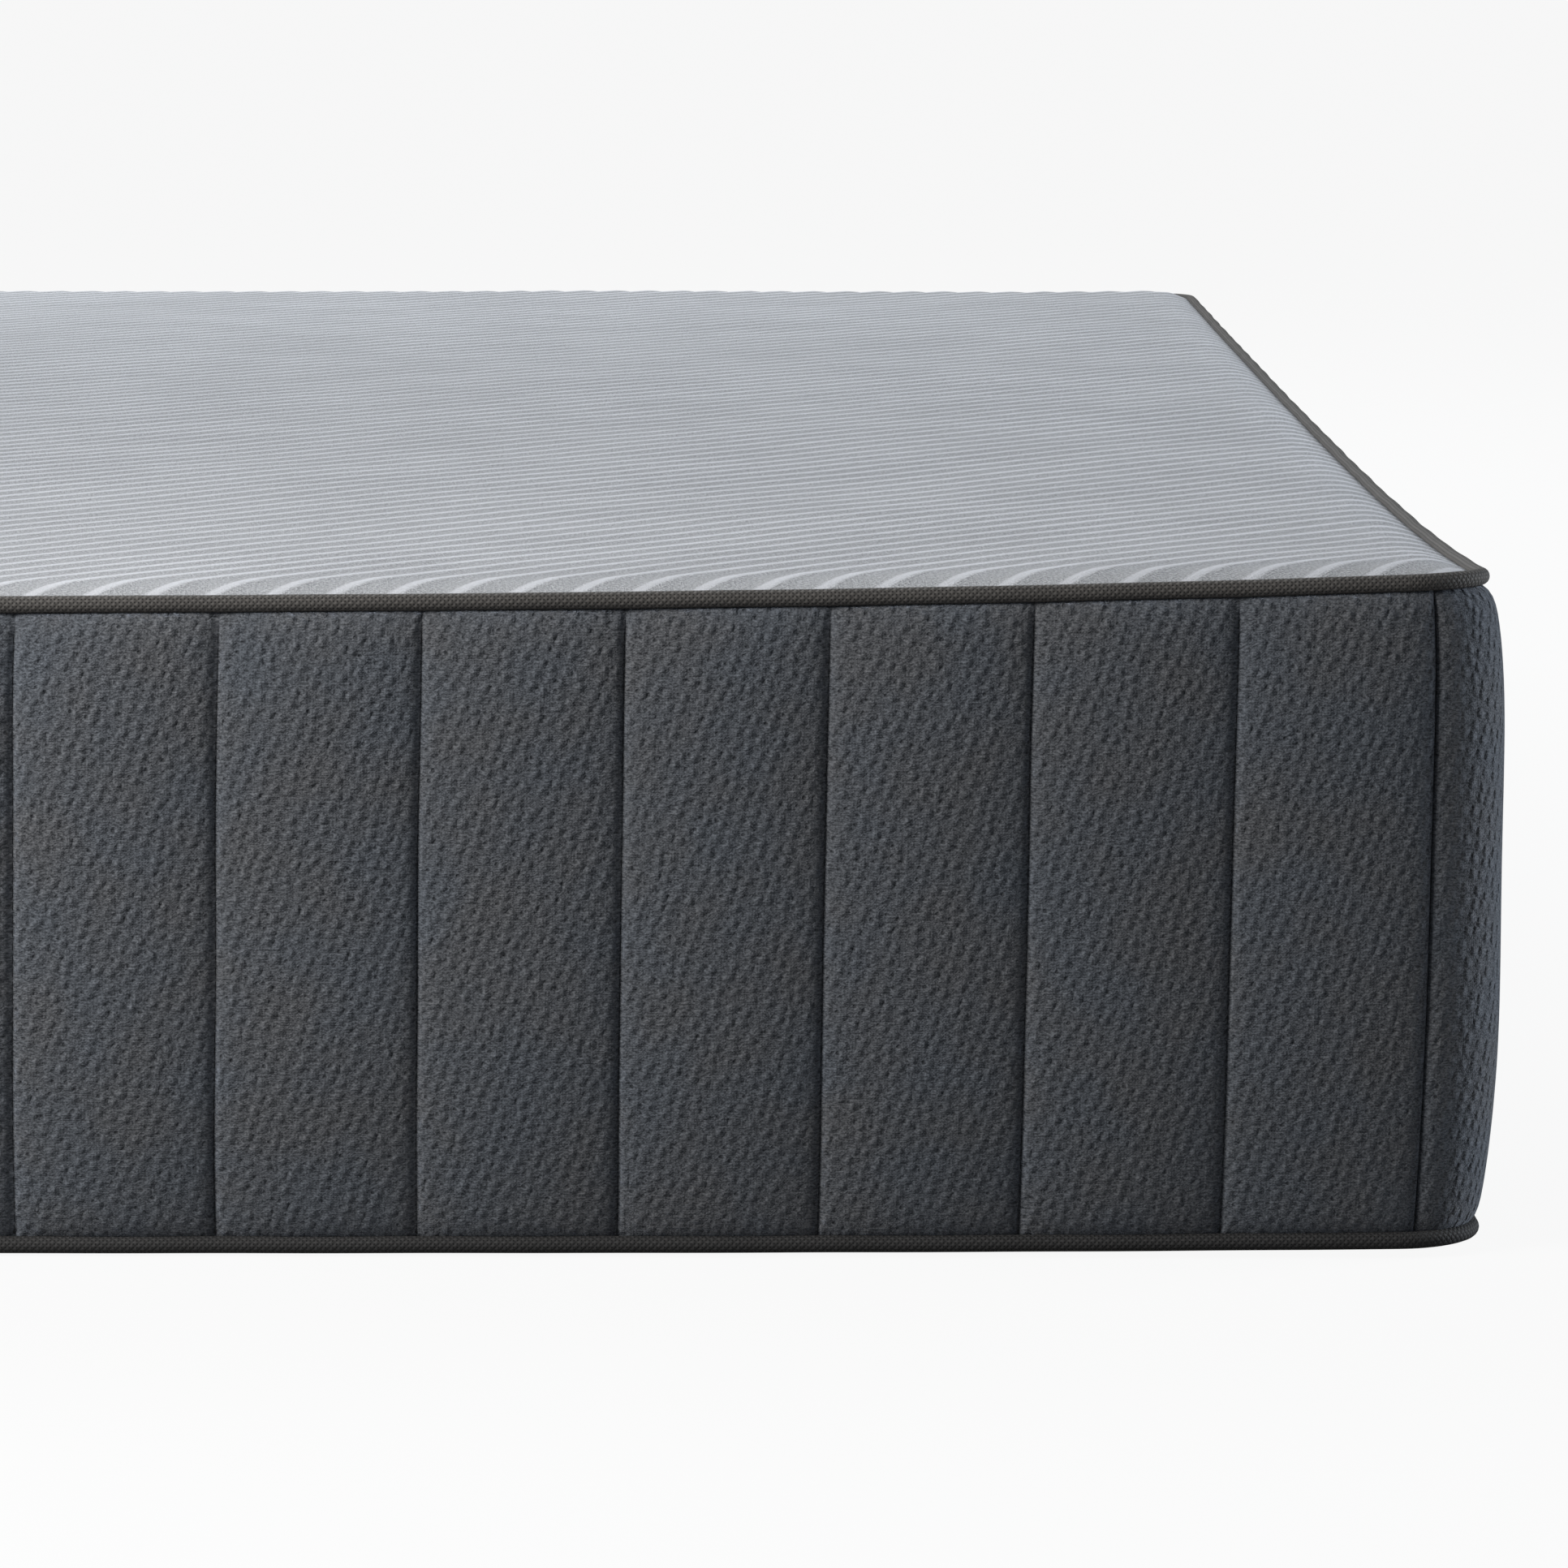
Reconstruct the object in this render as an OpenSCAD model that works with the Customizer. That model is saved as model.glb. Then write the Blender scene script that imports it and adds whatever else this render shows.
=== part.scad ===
// Memory foam mattress: foam layers in a fire sock, inside a cut and sewn cover
// with a knitted top, a channel-quilted border, two corded pipings and a zip.
// The origin is on the floor under the middle of the mattress. +X is across it,
// +Y runs from the foot end to the head end, and +Z is up. Sizes are in mm.

/* [Mattress] */
// Overall width, at the fullest part of the border
mattress_w = 1524; // [1200:1:2000]
// Overall length, at the fullest part of the border
mattress_l = 2032; // [1600:1:2440]
// Overall height, floor to the crown of the top panel
mattress_h = 254; // [200:1:320]
// Plan radius of the border at its vertical corners
corner_r = 40; // [34:1:70]

/* [Top and bottom panels] */
// Thickness of the ribbed knit top panel
top_panel_t = 5.6; // [4:0.1:9]
// Thickness of the laminated non-slip bottom panel
bottom_panel_t = 3; // [2:0.1:5]

/* [Border] */
// How far the middle of the border stands out past its sewn edges
border_bulge = 6.3; // [2:0.1:9]
// Thickness of the knitted face fabric
border_fabric_t = 1.2; // [0.8:0.1:2]
// Thickness of the wadding at the sewn edges
border_wadding_t = 4; // [2:0.1:8]
// Thickness of the backing fabric
border_backing_t = 0.8; // [0.4:0.1:1.5]
// Nominal spacing of the vertical channel seams
channel_pitch = 77.4; // [40:0.1:150]
// Distance of the first foot-end seam past the start of its corner
seam_phase = 10.6; // [0:0.1:30]
// Thickness of the channel stitching thread
thread_d = 0.5; // [0.3:0.1:0.9]

/* [Piping] */
// Overall diameter of a piping
piping_d = 6.6; // [5:0.1:9]
// Thickness of the woven tape round the filler cord
piping_tape_t = 0.8; // [0.5:0.1:1.2]
// Width of the sewn-in flange of the tape
piping_flange_w = 8; // [5:0.5:12]
// How far the top piping lies below the crown of the top panel
piping_drop = 3; // [1:0.1:5]
// Height of the bottom piping above the floor
piping_lift = 0.4; // [0.2:0.1:1]

/* [Foam] */
// Thickness of the knitted fire sock
sock_t = 1.5; // [1:0.1:3]
// Cloth left round the gathered opening at the head end of the sock
sock_mouth_margin = 58; // [30:1:80]
// Thickness of the gel memory foam layer
gel_foam_t = 50; // [25:1:70]
// Thickness of the transition foam layer
transition_foam_t = 38; // [20:1:50]

/* [Zip] */
// Distance from each end of the zip to the start of the corner
zip_margin = 30; // [10:1:500]
// Height of the middle of the zip above the floor
zip_height = 30; // [28:1:60]
// Width of one zip tape beside its teeth
zip_tape_w = 14; // [8:0.5:14]
// Thickness of a zip tape
zip_tape_t = 0.9; // [0.5:0.1:1.2]
// Width of one row of teeth
zip_row_w = 2.4; // [1.5:0.1:3]
// Thickness of the rows of teeth
zip_row_t = 2.6; // [2:0.1:3.2]
// Slit between the rows that the wedge of the slider passes through
zip_slit = 1.6; // [1.2:0.1:2.4]
// Length of a stop at an end of the teeth
zip_stop_l = 4; // [2:0.5:6]
// Thickness of each plate of the slider
slider_plate_t = 1.4; // [1:0.1:1.8]
// Thickness of the wedge that joins the two plates
slider_wedge_t = 1; // [0.6:0.1:1]
// Radius of the closed-chain end of the slider
slider_tail_r = 4.4; // [4:0.1:6]
// Radius of the wide end of the slider
slider_nose_r = 5.6; // [5:0.1:7]
// Length of the slider
slider_l = 12; // [11:0.5:18]
// Width of the bridge that holds the pull tab
bridge_w = 2.4; // [1.6:0.1:3]
// Diameter of the pivot bar of the pull tab
tab_bar_d = 1.2; // [0.8:0.1:1.4]
// Length of the pull tab from its pivot bar
tab_l = 30; // [20:1:34]

/* [Label] */
// Rough place of the label across the head end, moved to the nearest channel
label_place = -300; // [-450:1:450]
// Width of the blank care label
label_w = 42; // [20:1:60]
// Height of the blank care label
label_h = 60; // [30:1:90]
// Thickness of the blank care label
label_t = 0.3; // [0.2:0.1:0.4]

/* [Fits] */
// Space between two layers that lie on each other
layer_gap = 0.1; // [0.05:0.05:0.3]
// Space between pieces that are sewn or fitted side by side
piece_gap = 0.2; // [0.1:0.1:0.5]
// Space between pieces that move past each other
running_gap = 0.35; // [0.3:0.05:0.5]

/* [Hidden] */
$fn = 64;
ARC_FN = 1440;

// Insets from the overall plan to each sewn layer
seat_inset = thread_d + layer_gap;
edge_inset = seat_inset + border_bulge;
wadding_inset = edge_inset + border_fabric_t + border_wadding_t;
backing_inset = wadding_inset + layer_gap;
piping_r = piping_d / 2;
cord_r = piping_r - piping_tape_t - layer_gap;
piping_inset = edge_inset + piping_r;
panel_inset = piping_inset + piping_r + piece_gap;
sock_inset = max(backing_inset + border_backing_t + piece_gap, panel_inset);
foam_inset = sock_inset + sock_t + piece_gap;

// Centres of the corner arcs, the same for every layer
corner_x = mattress_w / 2 - corner_r;
corner_y = mattress_l / 2 - corner_r;

// Levels of the pipings, border and foam
upper_piping_z = mattress_h - piping_drop - piping_r;
lower_piping_z = piping_lift + piping_r;
border_low = lower_piping_z + piping_r + piece_gap;
border_high = upper_piping_z - piping_r - piece_gap;
border_mid = (border_low + border_high) / 2;
border_half_h = (border_high - border_low) / 2;
bulge_r = (pow(border_half_h, 2) + pow(border_bulge, 2)) / (2 * border_bulge);
flange_half_t = piping_tape_t / 2;
top_panel_low = mattress_h - top_panel_t;
sock_low = max(lower_piping_z + flange_half_t, bottom_panel_t) + piece_gap;
sock_high = min(upper_piping_z - flange_half_t, top_panel_low) - piece_gap;
foam_low = sock_low + sock_t + piece_gap;
foam_high = sock_high - sock_t - piece_gap;
gel_low = foam_high - gel_foam_t;
transition_low = gel_low - layer_gap - transition_foam_t;
base_high = transition_low - layer_gap;

// Channel seams, evenly spaced round the whole border
corner_len = corner_r * PI / 2;
side_len_x = 2 * corner_x;
side_len_y = 2 * corner_y;
border_len = 2 * side_len_x + 2 * side_len_y + 4 * corner_len;
channels = round(border_len / channel_pitch);
channel_step = border_len / channels;

// Plan place and turn of a point at length s along the border. The walk starts
// at the right of the foot end and runs left, then round past the head end.
function border_place(s) =
    s < side_len_x ? [corner_x - s, -corner_y, -90] :
    s < side_len_x + corner_len ?
        [-corner_x, -corner_y, -90 - (s - side_len_x) / corner_r * 180 / PI] :
    s < side_len_x + corner_len + side_len_y ?
        [-corner_x, s - side_len_x - corner_len - corner_y, 180] :
    s < side_len_x + 2 * corner_len + side_len_y ?
        [-corner_x, corner_y,
         180 - (s - side_len_x - corner_len - side_len_y) / corner_r * 180 / PI] :
    s < border_len / 2 + side_len_x ?
        [s - border_len / 2 - corner_x, corner_y, 90] :
    s < border_len / 2 + side_len_x + corner_len ?
        [corner_x, corner_y,
         90 - (s - border_len / 2 - side_len_x) / corner_r * 180 / PI] :
    s < border_len - corner_len ?
        [corner_x, corner_y - (s - border_len / 2 - side_len_x - corner_len), 0] :
        [corner_x, -corner_y, -(s - border_len + corner_len) / corner_r * 180 / PI];

// Zip places. The zip lies in one upright plane across the head end.
zip_half = corner_x - zip_margin;
zip_slot_h = 2 * zip_tape_w + 2 * zip_row_w + zip_slit + 2 * (layer_gap + piece_gap);
zip_row_edge = zip_slit / 2 + zip_row_w;
zip_slot_half = zip_half + zip_stop_l + 2 * running_gap;
slider_rest_x = zip_half - slider_l / 2 - running_gap;
slider_gap_y = zip_row_t / 2 + running_gap;
slider_rim_y = zip_tape_t / 2 + running_gap;
slider_rim_z = zip_row_edge + running_gap;
slider_front_y = slider_gap_y + slider_plate_t;
bridge_rise = tab_bar_d + 2 * running_gap;
bridge_t = 1;
bridge_half_l = 3.5;
tab_pivot_y = slider_front_y + running_gap + tab_bar_d / 2;
tab_arm_z = bridge_w / 2 + running_gap;
tab_arm_w = 1.5;
tab_slot_l = bridge_half_l + bridge_t + running_gap;
tab_end_r = 4.6;
grip_l = 10;
grip_w = 3;

// The zip is set so that its pull tab, flipped over past the end of the zip,
// lies just clear of the channel stitching on the bulged face
bulge_drop = bulge_r - sqrt(pow(bulge_r, 2) - pow(border_mid - zip_height - tab_end_r, 2));
tab_back_y = mattress_l / 2 - bulge_drop + running_gap;
zip_plane_y = tab_back_y + tab_bar_d / 2 - tab_pivot_y;

// Care label, on the head end between two channel seams
label_rough_s = border_len / 2 + corner_x + label_place;
label_channel = floor((label_rough_s + seam_phase) / channel_step);
label_s = (label_channel + 0.5) * channel_step - seam_phase;
label_x = border_place(label_s)[0];

// Rounded plan, drawn in by an inset
module plan(inset) {
    r = corner_r - inset;
    w = 2 * corner_x;
    l = 2 * corner_y;
    square([w + 2 * r, l], center = true);
    square([w, l + 2 * r], center = true);
    for (x = [-corner_x, corner_x], y = [-corner_y, corner_y])
        translate([x, y]) circle(r = r);
}

// Flat layer with the rounded plan
module layer(inset, low, high) {
    translate([0, 0, low])
        linear_extrude(height = high - low)
            plan(inset);
}

// Carries a section round the plan. The section's x is the distance from the
// centre of a corner arc, and its y is the height.
module around() {
    for (turn = [0, 180]) rotate([0, 0, turn]) {
        translate([corner_x, 0, 0])
            rotate([90, 0, 0])
                linear_extrude(height = 2 * corner_y, center = true)
                    children();
        translate([0, corner_y, 0])
            rotate([0, 0, 90])
                rotate([90, 0, 0])
                    linear_extrude(height = 2 * corner_x, center = true)
                        children();
        translate([corner_x, corner_y, 0])
            rotate_extrude(angle = 90)
                children();
        translate([-corner_x, corner_y, 0])
            rotate([0, 0, 90])
                rotate_extrude(angle = 90)
                    children();
    }
}

// Section of everything inside the bulged face, grown outwards by out
module bulge_section(out) {
    translate([corner_r - seat_inset - bulge_r, border_mid])
        circle(r = bulge_r + out, $fn = ARC_FN);
}

// Upright band from an inset out past the face
module border_band(inset, low, high) {
    translate([corner_r - inset, low])
        square([inset + 1, high - low]);
}

module fabric_section() {
    intersection() {
        border_band(wadding_inset, border_low, border_high);
        difference() {
            bulge_section(0);
            bulge_section(-border_fabric_t);
        }
    }
}

module wadding_section() {
    intersection() {
        border_band(wadding_inset, border_low, border_high);
        bulge_section(-border_fabric_t - layer_gap);
    }
}

module stitch_section() {
    intersection() {
        border_band(wadding_inset, border_low + 2, border_high - 2);
        difference() {
            bulge_section(layer_gap + thread_d);
            bulge_section(layer_gap);
        }
    }
}

// Space that the zip fills in the head end of the border
module zip_slot() {
    translate([-zip_slot_half, corner_y, zip_height - zip_slot_h / 2])
        cube([2 * zip_slot_half, corner_r + 1, zip_slot_h]);
}

module top_panel() {
    color("lightsteelblue") layer(panel_inset, top_panel_low, mattress_h);
}

module bottom_panel() {
    color("dimgray") layer(panel_inset, 0, bottom_panel_t);
}

module border_fabric() {
    color([0.28, 0.29, 0.31]) difference() {
        around() fabric_section();
        zip_slot();
    }
}

module border_wadding() {
    color("whitesmoke") difference() {
        around() wadding_section();
        zip_slot();
    }
}

module border_backing() {
    color("gainsboro") difference() {
        layer(backing_inset, border_low, border_high);
        translate([0, 0, -1]) layer(backing_inset + border_backing_t, border_low, border_high + 2);
        zip_slot();
    }
}

module channel_stitching() {
    color([0.2, 0.21, 0.22]) difference() {
        for (i = [0 : channels - 1]) {
            s = i * channel_step - seam_phase;
            at = border_place(s < 0 ? s + border_len : s);
            translate([at[0], at[1], 0])
                rotate([0, 0, at[2]])
                    rotate([90, 0, 0])
                        linear_extrude(height = thread_d, center = true)
                            stitch_section();
        }
        zip_slot();
    }
}

// Tape of a piping: a sleeve round the cord with a flange towards the middle
module piping_tape(level) {
    around() translate([corner_r - piping_inset, level]) {
        difference() {
            union() {
                circle(r = piping_r);
                translate([-piping_r - piping_flange_w, -flange_half_t])
                    square([piping_r + piping_flange_w, 2 * flange_half_t]);
            }
            circle(r = cord_r + layer_gap);
        }
    }
}

module piping_cord(level) {
    around() translate([corner_r - piping_inset, level]) circle(r = cord_r);
}

module upper_piping_tape() {
    color([0.26, 0.25, 0.24]) piping_tape(upper_piping_z);
}

module upper_piping_cord() {
    color("white") piping_cord(upper_piping_z);
}

module lower_piping_tape() {
    color([0.2, 0.2, 0.2]) piping_tape(lower_piping_z);
}

module lower_piping_cord() {
    color("white") piping_cord(lower_piping_z);
}

// Moves to the middle of the zip at a place along it
module on_zip(x) {
    translate([x, zip_plane_y, zip_height]) children();
}

// One zip tape, on the side that way gives
module zip_tape(way) {
    low = zip_row_edge + layer_gap;
    mid = low + zip_tape_w / 2;
    on_zip(0) translate([0, 0, way * mid])
        cube([2 * zip_half, zip_tape_t, zip_tape_w], center = true);
}

// One row of teeth, on the side that way gives
module zip_teeth(way) {
    mid = (zip_slit + zip_row_w) / 2;
    on_zip(0) translate([0, 0, way * mid])
        cube([2 * zip_half, zip_row_t, zip_row_w], center = true);
}

// A stop just past an end of the rows
module zip_stop(way) {
    on_zip(way * (zip_half + layer_gap + zip_stop_l / 2))
        cube([zip_stop_l, zip_row_t, 2 * zip_row_edge], center = true);
}

module zip_upper_tape() {
    color([0.12, 0.12, 0.13]) zip_tape(1);
}

module zip_lower_tape() {
    color([0.12, 0.12, 0.13]) zip_tape(-1);
}

module zip_upper_teeth() {
    color([0.1, 0.1, 0.11]) zip_teeth(1);
}

module zip_lower_teeth() {
    color([0.1, 0.1, 0.11]) zip_teeth(-1);
}

module zip_top_stop() {
    color("silver") zip_stop(1);
}

module zip_bottom_stop() {
    color("silver") zip_stop(-1);
}

// Egg-shaped outline of a slider plate, along x and z
module slider_outline() {
    tail_x = slider_tail_r - slider_l / 2;
    nose_x = slider_l / 2 - slider_nose_r;
    translate([tail_x, 0]) circle(r = slider_tail_r);
    translate([nose_x, 0]) circle(r = slider_nose_r);
    polygon([
        [tail_x, -slider_tail_r], [nose_x, -slider_nose_r],
        [nose_x, slider_nose_r], [tail_x, slider_tail_r]
    ]);
}

// Stands a drawing of x and z up, from low to high along y
module upright(low, high) {
    translate([0, high, 0])
        rotate([90, 0, 0])
            linear_extrude(height = high - low)
                children();
}

module slider_rims() {
    difference() {
        slider_outline();
        square([2 * slider_l, 2 * slider_rim_z], center = true);
    }
}

// Arch over the front plate, drawn along x and y
module bridge_outline(half_l, rise) {
    r = min(half_l, rise) / 2;
    square([2 * half_l, rise - r], center = false);
    translate([r, 0]) square([2 * (half_l - r), rise]);
    for (x = [r, 2 * half_l - r])
        translate([x, rise - r]) circle(r = r);
}

module slider_bridge() {
    inner_half = bridge_half_l - bridge_t;
    translate([0, slider_front_y, -bridge_w / 2])
        linear_extrude(height = bridge_w)
            difference() {
                translate([-bridge_half_l, 0])
                    bridge_outline(bridge_half_l, bridge_rise + bridge_t);
                translate([-inner_half, 0])
                    bridge_outline(inner_half, bridge_rise);
            }
}

module zip_slider() {
    wedge_l = 4;
    color([0.55, 0.55, 0.57]) on_zip(slider_rest_x) {
        upright(slider_gap_y, slider_front_y) slider_outline();
        upright(-slider_front_y, -slider_gap_y) slider_outline();
        upright(slider_rim_y, slider_gap_y) slider_rims();
        upright(-slider_gap_y, -slider_rim_y) slider_rims();
        upright(-slider_gap_y, slider_gap_y)
            translate([slider_l / 2 - 1 - wedge_l, -slider_wedge_t / 2])
                square([wedge_l, slider_wedge_t]);
        slider_bridge();
    }
}

module tab_outline() {
    neck_z = tab_arm_z + tab_arm_w;
    end_x = tab_end_r - tab_l;
    difference() {
        union() {
            translate([end_x, 0]) circle(r = tab_end_r);
            polygon([
                [end_x, -tab_end_r], [-tab_slot_l, -neck_z],
                [-tab_slot_l, neck_z], [end_x, tab_end_r]
            ]);
            translate([-tab_slot_l - 1, -neck_z]) square([tab_slot_l + 1, 2 * neck_z]);
        }
        translate([-tab_slot_l, -tab_arm_z]) square([tab_slot_l + 1, 2 * tab_arm_z]);
        translate([end_x, 0]) circle(d = grip_w);
        translate([end_x + grip_l, 0]) circle(d = grip_w);
        translate([end_x, -grip_w / 2]) square([grip_l, grip_w]);
    }
}

module zip_pull_tab() {
    bar_l = 2 * (tab_arm_z + tab_arm_w);
    color([0.5, 0.5, 0.52]) on_zip(slider_rest_x) translate([0, tab_pivot_y, 0]) {
        upright(-tab_bar_d / 2, tab_bar_d / 2) tab_outline();
        cylinder(d = tab_bar_d, h = bar_l, center = true);
    }
}

module care_label() {
    face_y = mattress_l / 2 - seat_inset + layer_gap;
    color("white") translate([label_x, face_y + label_t / 2, border_mid])
        cube([label_w, label_t, label_h], center = true);
}

module fire_sock() {
    mouth_half_w = corner_x - sock_mouth_margin;
    mouth_h = sock_high - sock_low - 2 * sock_mouth_margin;
    color("ivory") difference() {
        layer(sock_inset, sock_low, sock_high);
        layer(sock_inset + sock_t, sock_low + sock_t, sock_high - sock_t);
        translate([-mouth_half_w, corner_y, sock_low + sock_mouth_margin])
            cube([2 * mouth_half_w, corner_r, mouth_h]);
    }
}

module gel_foam() {
    color("lightskyblue") layer(foam_inset, gel_low, foam_high);
}

module transition_foam() {
    color("white") layer(foam_inset, transition_low, gel_low - layer_gap);
}

module base_foam() {
    color("lightyellow") layer(foam_inset, foam_low, base_high);
}

top_panel();
border_fabric();
border_wadding();
border_backing();
channel_stitching();
upper_piping_tape();
upper_piping_cord();
lower_piping_tape();
lower_piping_cord();
bottom_panel();
zip_upper_tape();
zip_lower_tape();
zip_upper_teeth();
zip_lower_teeth();
zip_top_stop();
zip_bottom_stop();
zip_slider();
zip_pull_tab();
care_label();
fire_sock();
gel_foam();
transition_foam();
base_foam();
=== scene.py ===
"""Looks of the memory foam mattress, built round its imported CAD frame.

Everything is in metres in the frame of the part: the origin is on the floor under the
middle of the mattress, +X is across it, +Y runs from foot to head and +Z is up.
"""

import logging
import math
from dataclasses import dataclass
from enum import Enum
from functools import cached_property
from typing import Callable, Iterable

import bmesh
import bpy
from mathutils import Matrix, Vector, noise


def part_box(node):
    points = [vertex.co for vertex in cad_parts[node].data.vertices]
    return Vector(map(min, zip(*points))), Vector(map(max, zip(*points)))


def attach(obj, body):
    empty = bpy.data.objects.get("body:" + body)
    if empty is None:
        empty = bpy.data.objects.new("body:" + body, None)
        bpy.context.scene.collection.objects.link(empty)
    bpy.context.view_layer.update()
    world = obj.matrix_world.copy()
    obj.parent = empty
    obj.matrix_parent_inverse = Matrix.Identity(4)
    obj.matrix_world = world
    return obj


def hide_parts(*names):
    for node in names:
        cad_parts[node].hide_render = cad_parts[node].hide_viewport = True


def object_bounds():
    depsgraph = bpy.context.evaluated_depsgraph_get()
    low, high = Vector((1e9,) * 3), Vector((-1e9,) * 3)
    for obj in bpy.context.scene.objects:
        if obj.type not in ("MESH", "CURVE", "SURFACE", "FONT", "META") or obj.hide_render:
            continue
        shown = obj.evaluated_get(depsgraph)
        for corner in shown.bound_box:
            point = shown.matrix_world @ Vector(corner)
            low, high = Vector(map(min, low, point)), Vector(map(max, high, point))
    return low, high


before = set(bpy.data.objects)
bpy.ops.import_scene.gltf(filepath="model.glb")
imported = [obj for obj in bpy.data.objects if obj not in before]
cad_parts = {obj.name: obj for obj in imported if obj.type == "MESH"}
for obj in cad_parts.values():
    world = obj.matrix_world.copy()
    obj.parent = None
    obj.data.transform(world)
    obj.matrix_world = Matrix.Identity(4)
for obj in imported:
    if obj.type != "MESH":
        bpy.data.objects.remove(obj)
CAD_LOW, CAD_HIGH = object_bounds()

log = logging.getLogger("mattress")

MM = 0.001
CLOTH_MAP = "cloth"
ROOT = "mattress"

Colour = tuple[float, float, float]
Socket = bpy.types.NodeSocket


# ---------------------------------------------------------------------------
# Small helpers
# ---------------------------------------------------------------------------


def clamp(value: float, low: float = 0.0, high: float = 1.0) -> float:
    """Keeps a value between two limits."""
    return max(low, min(high, value))


def smooth(low: float, high: float, value: float) -> float:
    """Smooth step from 0 at low to 1 at high."""
    t = clamp((value - low) / (high - low))
    return t * t * (3 - 2 * t)


def wobble(a: float, b: float, scale: float, seed: float) -> float:
    """Soft noise between about -1 and 1.

    Args:
        a: first coordinate, in metres.
        b: second coordinate, in metres.
        scale: size of a swell, in metres.
        seed: picks one of many fields.

    Returns:
        The value of the field at that place.
    """
    return noise.noise(Vector((a / scale, b / scale, seed)))


# ---------------------------------------------------------------------------
# Sizes that follow from the frame
# ---------------------------------------------------------------------------


@dataclass(frozen=True)
class Plan:
    """Rounded rectangle that the border follows, walked anticlockwise from above.

    The walk starts where the straight of the foot end meets its right-hand corner.
    """

    half_w: float
    half_l: float
    radius: float

    @property
    def core_x(self) -> float:
        """X of the centres of the right-hand corner arcs."""
        return self.half_w - self.radius

    @property
    def core_y(self) -> float:
        """Y of the centres of the head-end corner arcs."""
        return self.half_l - self.radius

    @property
    def arc(self) -> float:
        """Length of one corner arc."""
        return self.radius * math.pi / 2

    @cached_property
    def length(self) -> float:
        """Length of the whole walk."""
        return 4 * (self.core_x + self.core_y + self.arc)

    @cached_property
    def legs(self) -> list[tuple[float, Vector, float]]:
        """Length, start corner centre and start heading of each arc and straight.

        Returns:
            Length, corner centre and heading of every leg in order.
        """
        x, y = self.core_x, self.core_y
        centres = [Vector((x, -y)), Vector((x, y)), Vector((-x, y)), Vector((-x, -y))]
        straights = [2 * y, 2 * x, 2 * y, 2 * x]
        found = []
        for turn, (centre, run) in enumerate(zip(centres, straights)):
            found.append((self.arc, centre, -math.pi / 2 + turn * math.pi / 2))
            found.append((run, centre, turn * math.pi / 2))
        return found

    def point(self, t: float, inset: float, z: float) -> Vector:
        """Place beside the walk.

        Args:
            t: distance along the walk at the full plan.
            inset: distance inwards from the full plan.
            z: height.

        Returns:
            The point in the frame of the part.
        """
        t %= self.length
        for index, (run, centre, heading) in enumerate(self.legs):
            if t <= run:
                break
            t -= run
        out = heading + (t / self.radius if index % 2 == 0 else 0.0)
        along = 0.0 if index % 2 == 0 else t
        reach = self.radius - inset
        x = centre.x + reach * math.cos(out) - along * math.sin(heading)
        y = centre.y + reach * math.sin(out) + along * math.cos(heading)
        return Vector((x, y, z))


@dataclass(frozen=True)
class Sizes:
    """Sizes that more than one piece shares, read off the CAD boxes where they can be."""

    corner_radius: float = 40 * MM
    channel_pitch: float = 77.4 * MM
    seam_phase: float = 10.6 * MM
    piping_radius: float = 3.3 * MM
    rib_pitch: float = 17.9 * MM
    corner_lift: float = 12.0 * MM
    foot_lift: float = 3.2 * MM
    head_lift: float = 1.5 * MM
    lower_lift: float = 3.9 * MM
    lift_reach: float = 270 * MM
    seam_lean: float = 5 * MM

    @cached_property
    def plan(self) -> Plan:
        """The full plan of the mattress."""
        return Plan(CAD_HIGH.x, CAD_HIGH.y, self.corner_radius)

    @property
    def height(self) -> float:
        """Height of the crown of the top panel."""
        return CAD_HIGH.z

    @cached_property
    def channels(self) -> int:
        """Number of channels round the border."""
        return round(self.plan.length / self.channel_pitch)

    @cached_property
    def channel_step(self) -> float:
        """Distance from one channel seam to the next."""
        return self.plan.length / self.channels

    @cached_property
    def piping_inset(self) -> float:
        """Distance from the full plan to the middle of a piping."""
        _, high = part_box("upper_piping_tape")
        return CAD_HIGH.x - high.x + self.piping_radius

    @cached_property
    def upper_piping_z(self) -> float:
        """Height of the middle of the upper piping."""
        low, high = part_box("upper_piping_tape")
        return (low.z + high.z) / 2

    @cached_property
    def lower_piping_z(self) -> float:
        """Height of the middle of the lower piping."""
        low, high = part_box("lower_piping_tape")
        return (low.z + high.z) / 2

    def seam(self, index: int) -> float:
        """Place of a channel seam along the walk."""
        return self.seam_phase + index * self.channel_step

    def lift(self, x: float, y: float) -> float:
        """How far the top edge is lifted by the firm corners of the foam.

        Args:
            x: place across the mattress.
            y: place along the mattress.

        Returns:
            The lift in metres, largest at the foot-end corners.
        """
        away, from_end = self.to_corner(x, y)
        if y > 0:
            return self.head_lift * math.exp(-away / self.lift_reach)
        along_foot = self.foot_lift * math.exp(-from_end / self.lift_reach)
        return self.corner_lift * math.exp(-away / self.lift_reach) + along_foot

    def low_lift(self, x: float, y: float) -> float:
        """How far the bottom edge is drawn up at the foot-end corners."""
        away, _ = self.to_corner(x, y)
        return self.lower_lift * math.exp(-away / self.lift_reach) if y < 0 else 0.0

    def to_corner(self, x: float, y: float) -> tuple[float, float]:
        """Distances to the nearest corner and to the nearest end."""
        from_end = CAD_HIGH.y - abs(y)
        return math.hypot(CAD_HIGH.x - abs(x), from_end), from_end


SIZES = Sizes()
PLAN = SIZES.plan
ZIP_LOW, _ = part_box("zip_lower_tape")
_, ZIP_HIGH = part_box("zip_upper_tape")


# ---------------------------------------------------------------------------
# Node groups and finishes
# ---------------------------------------------------------------------------


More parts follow.
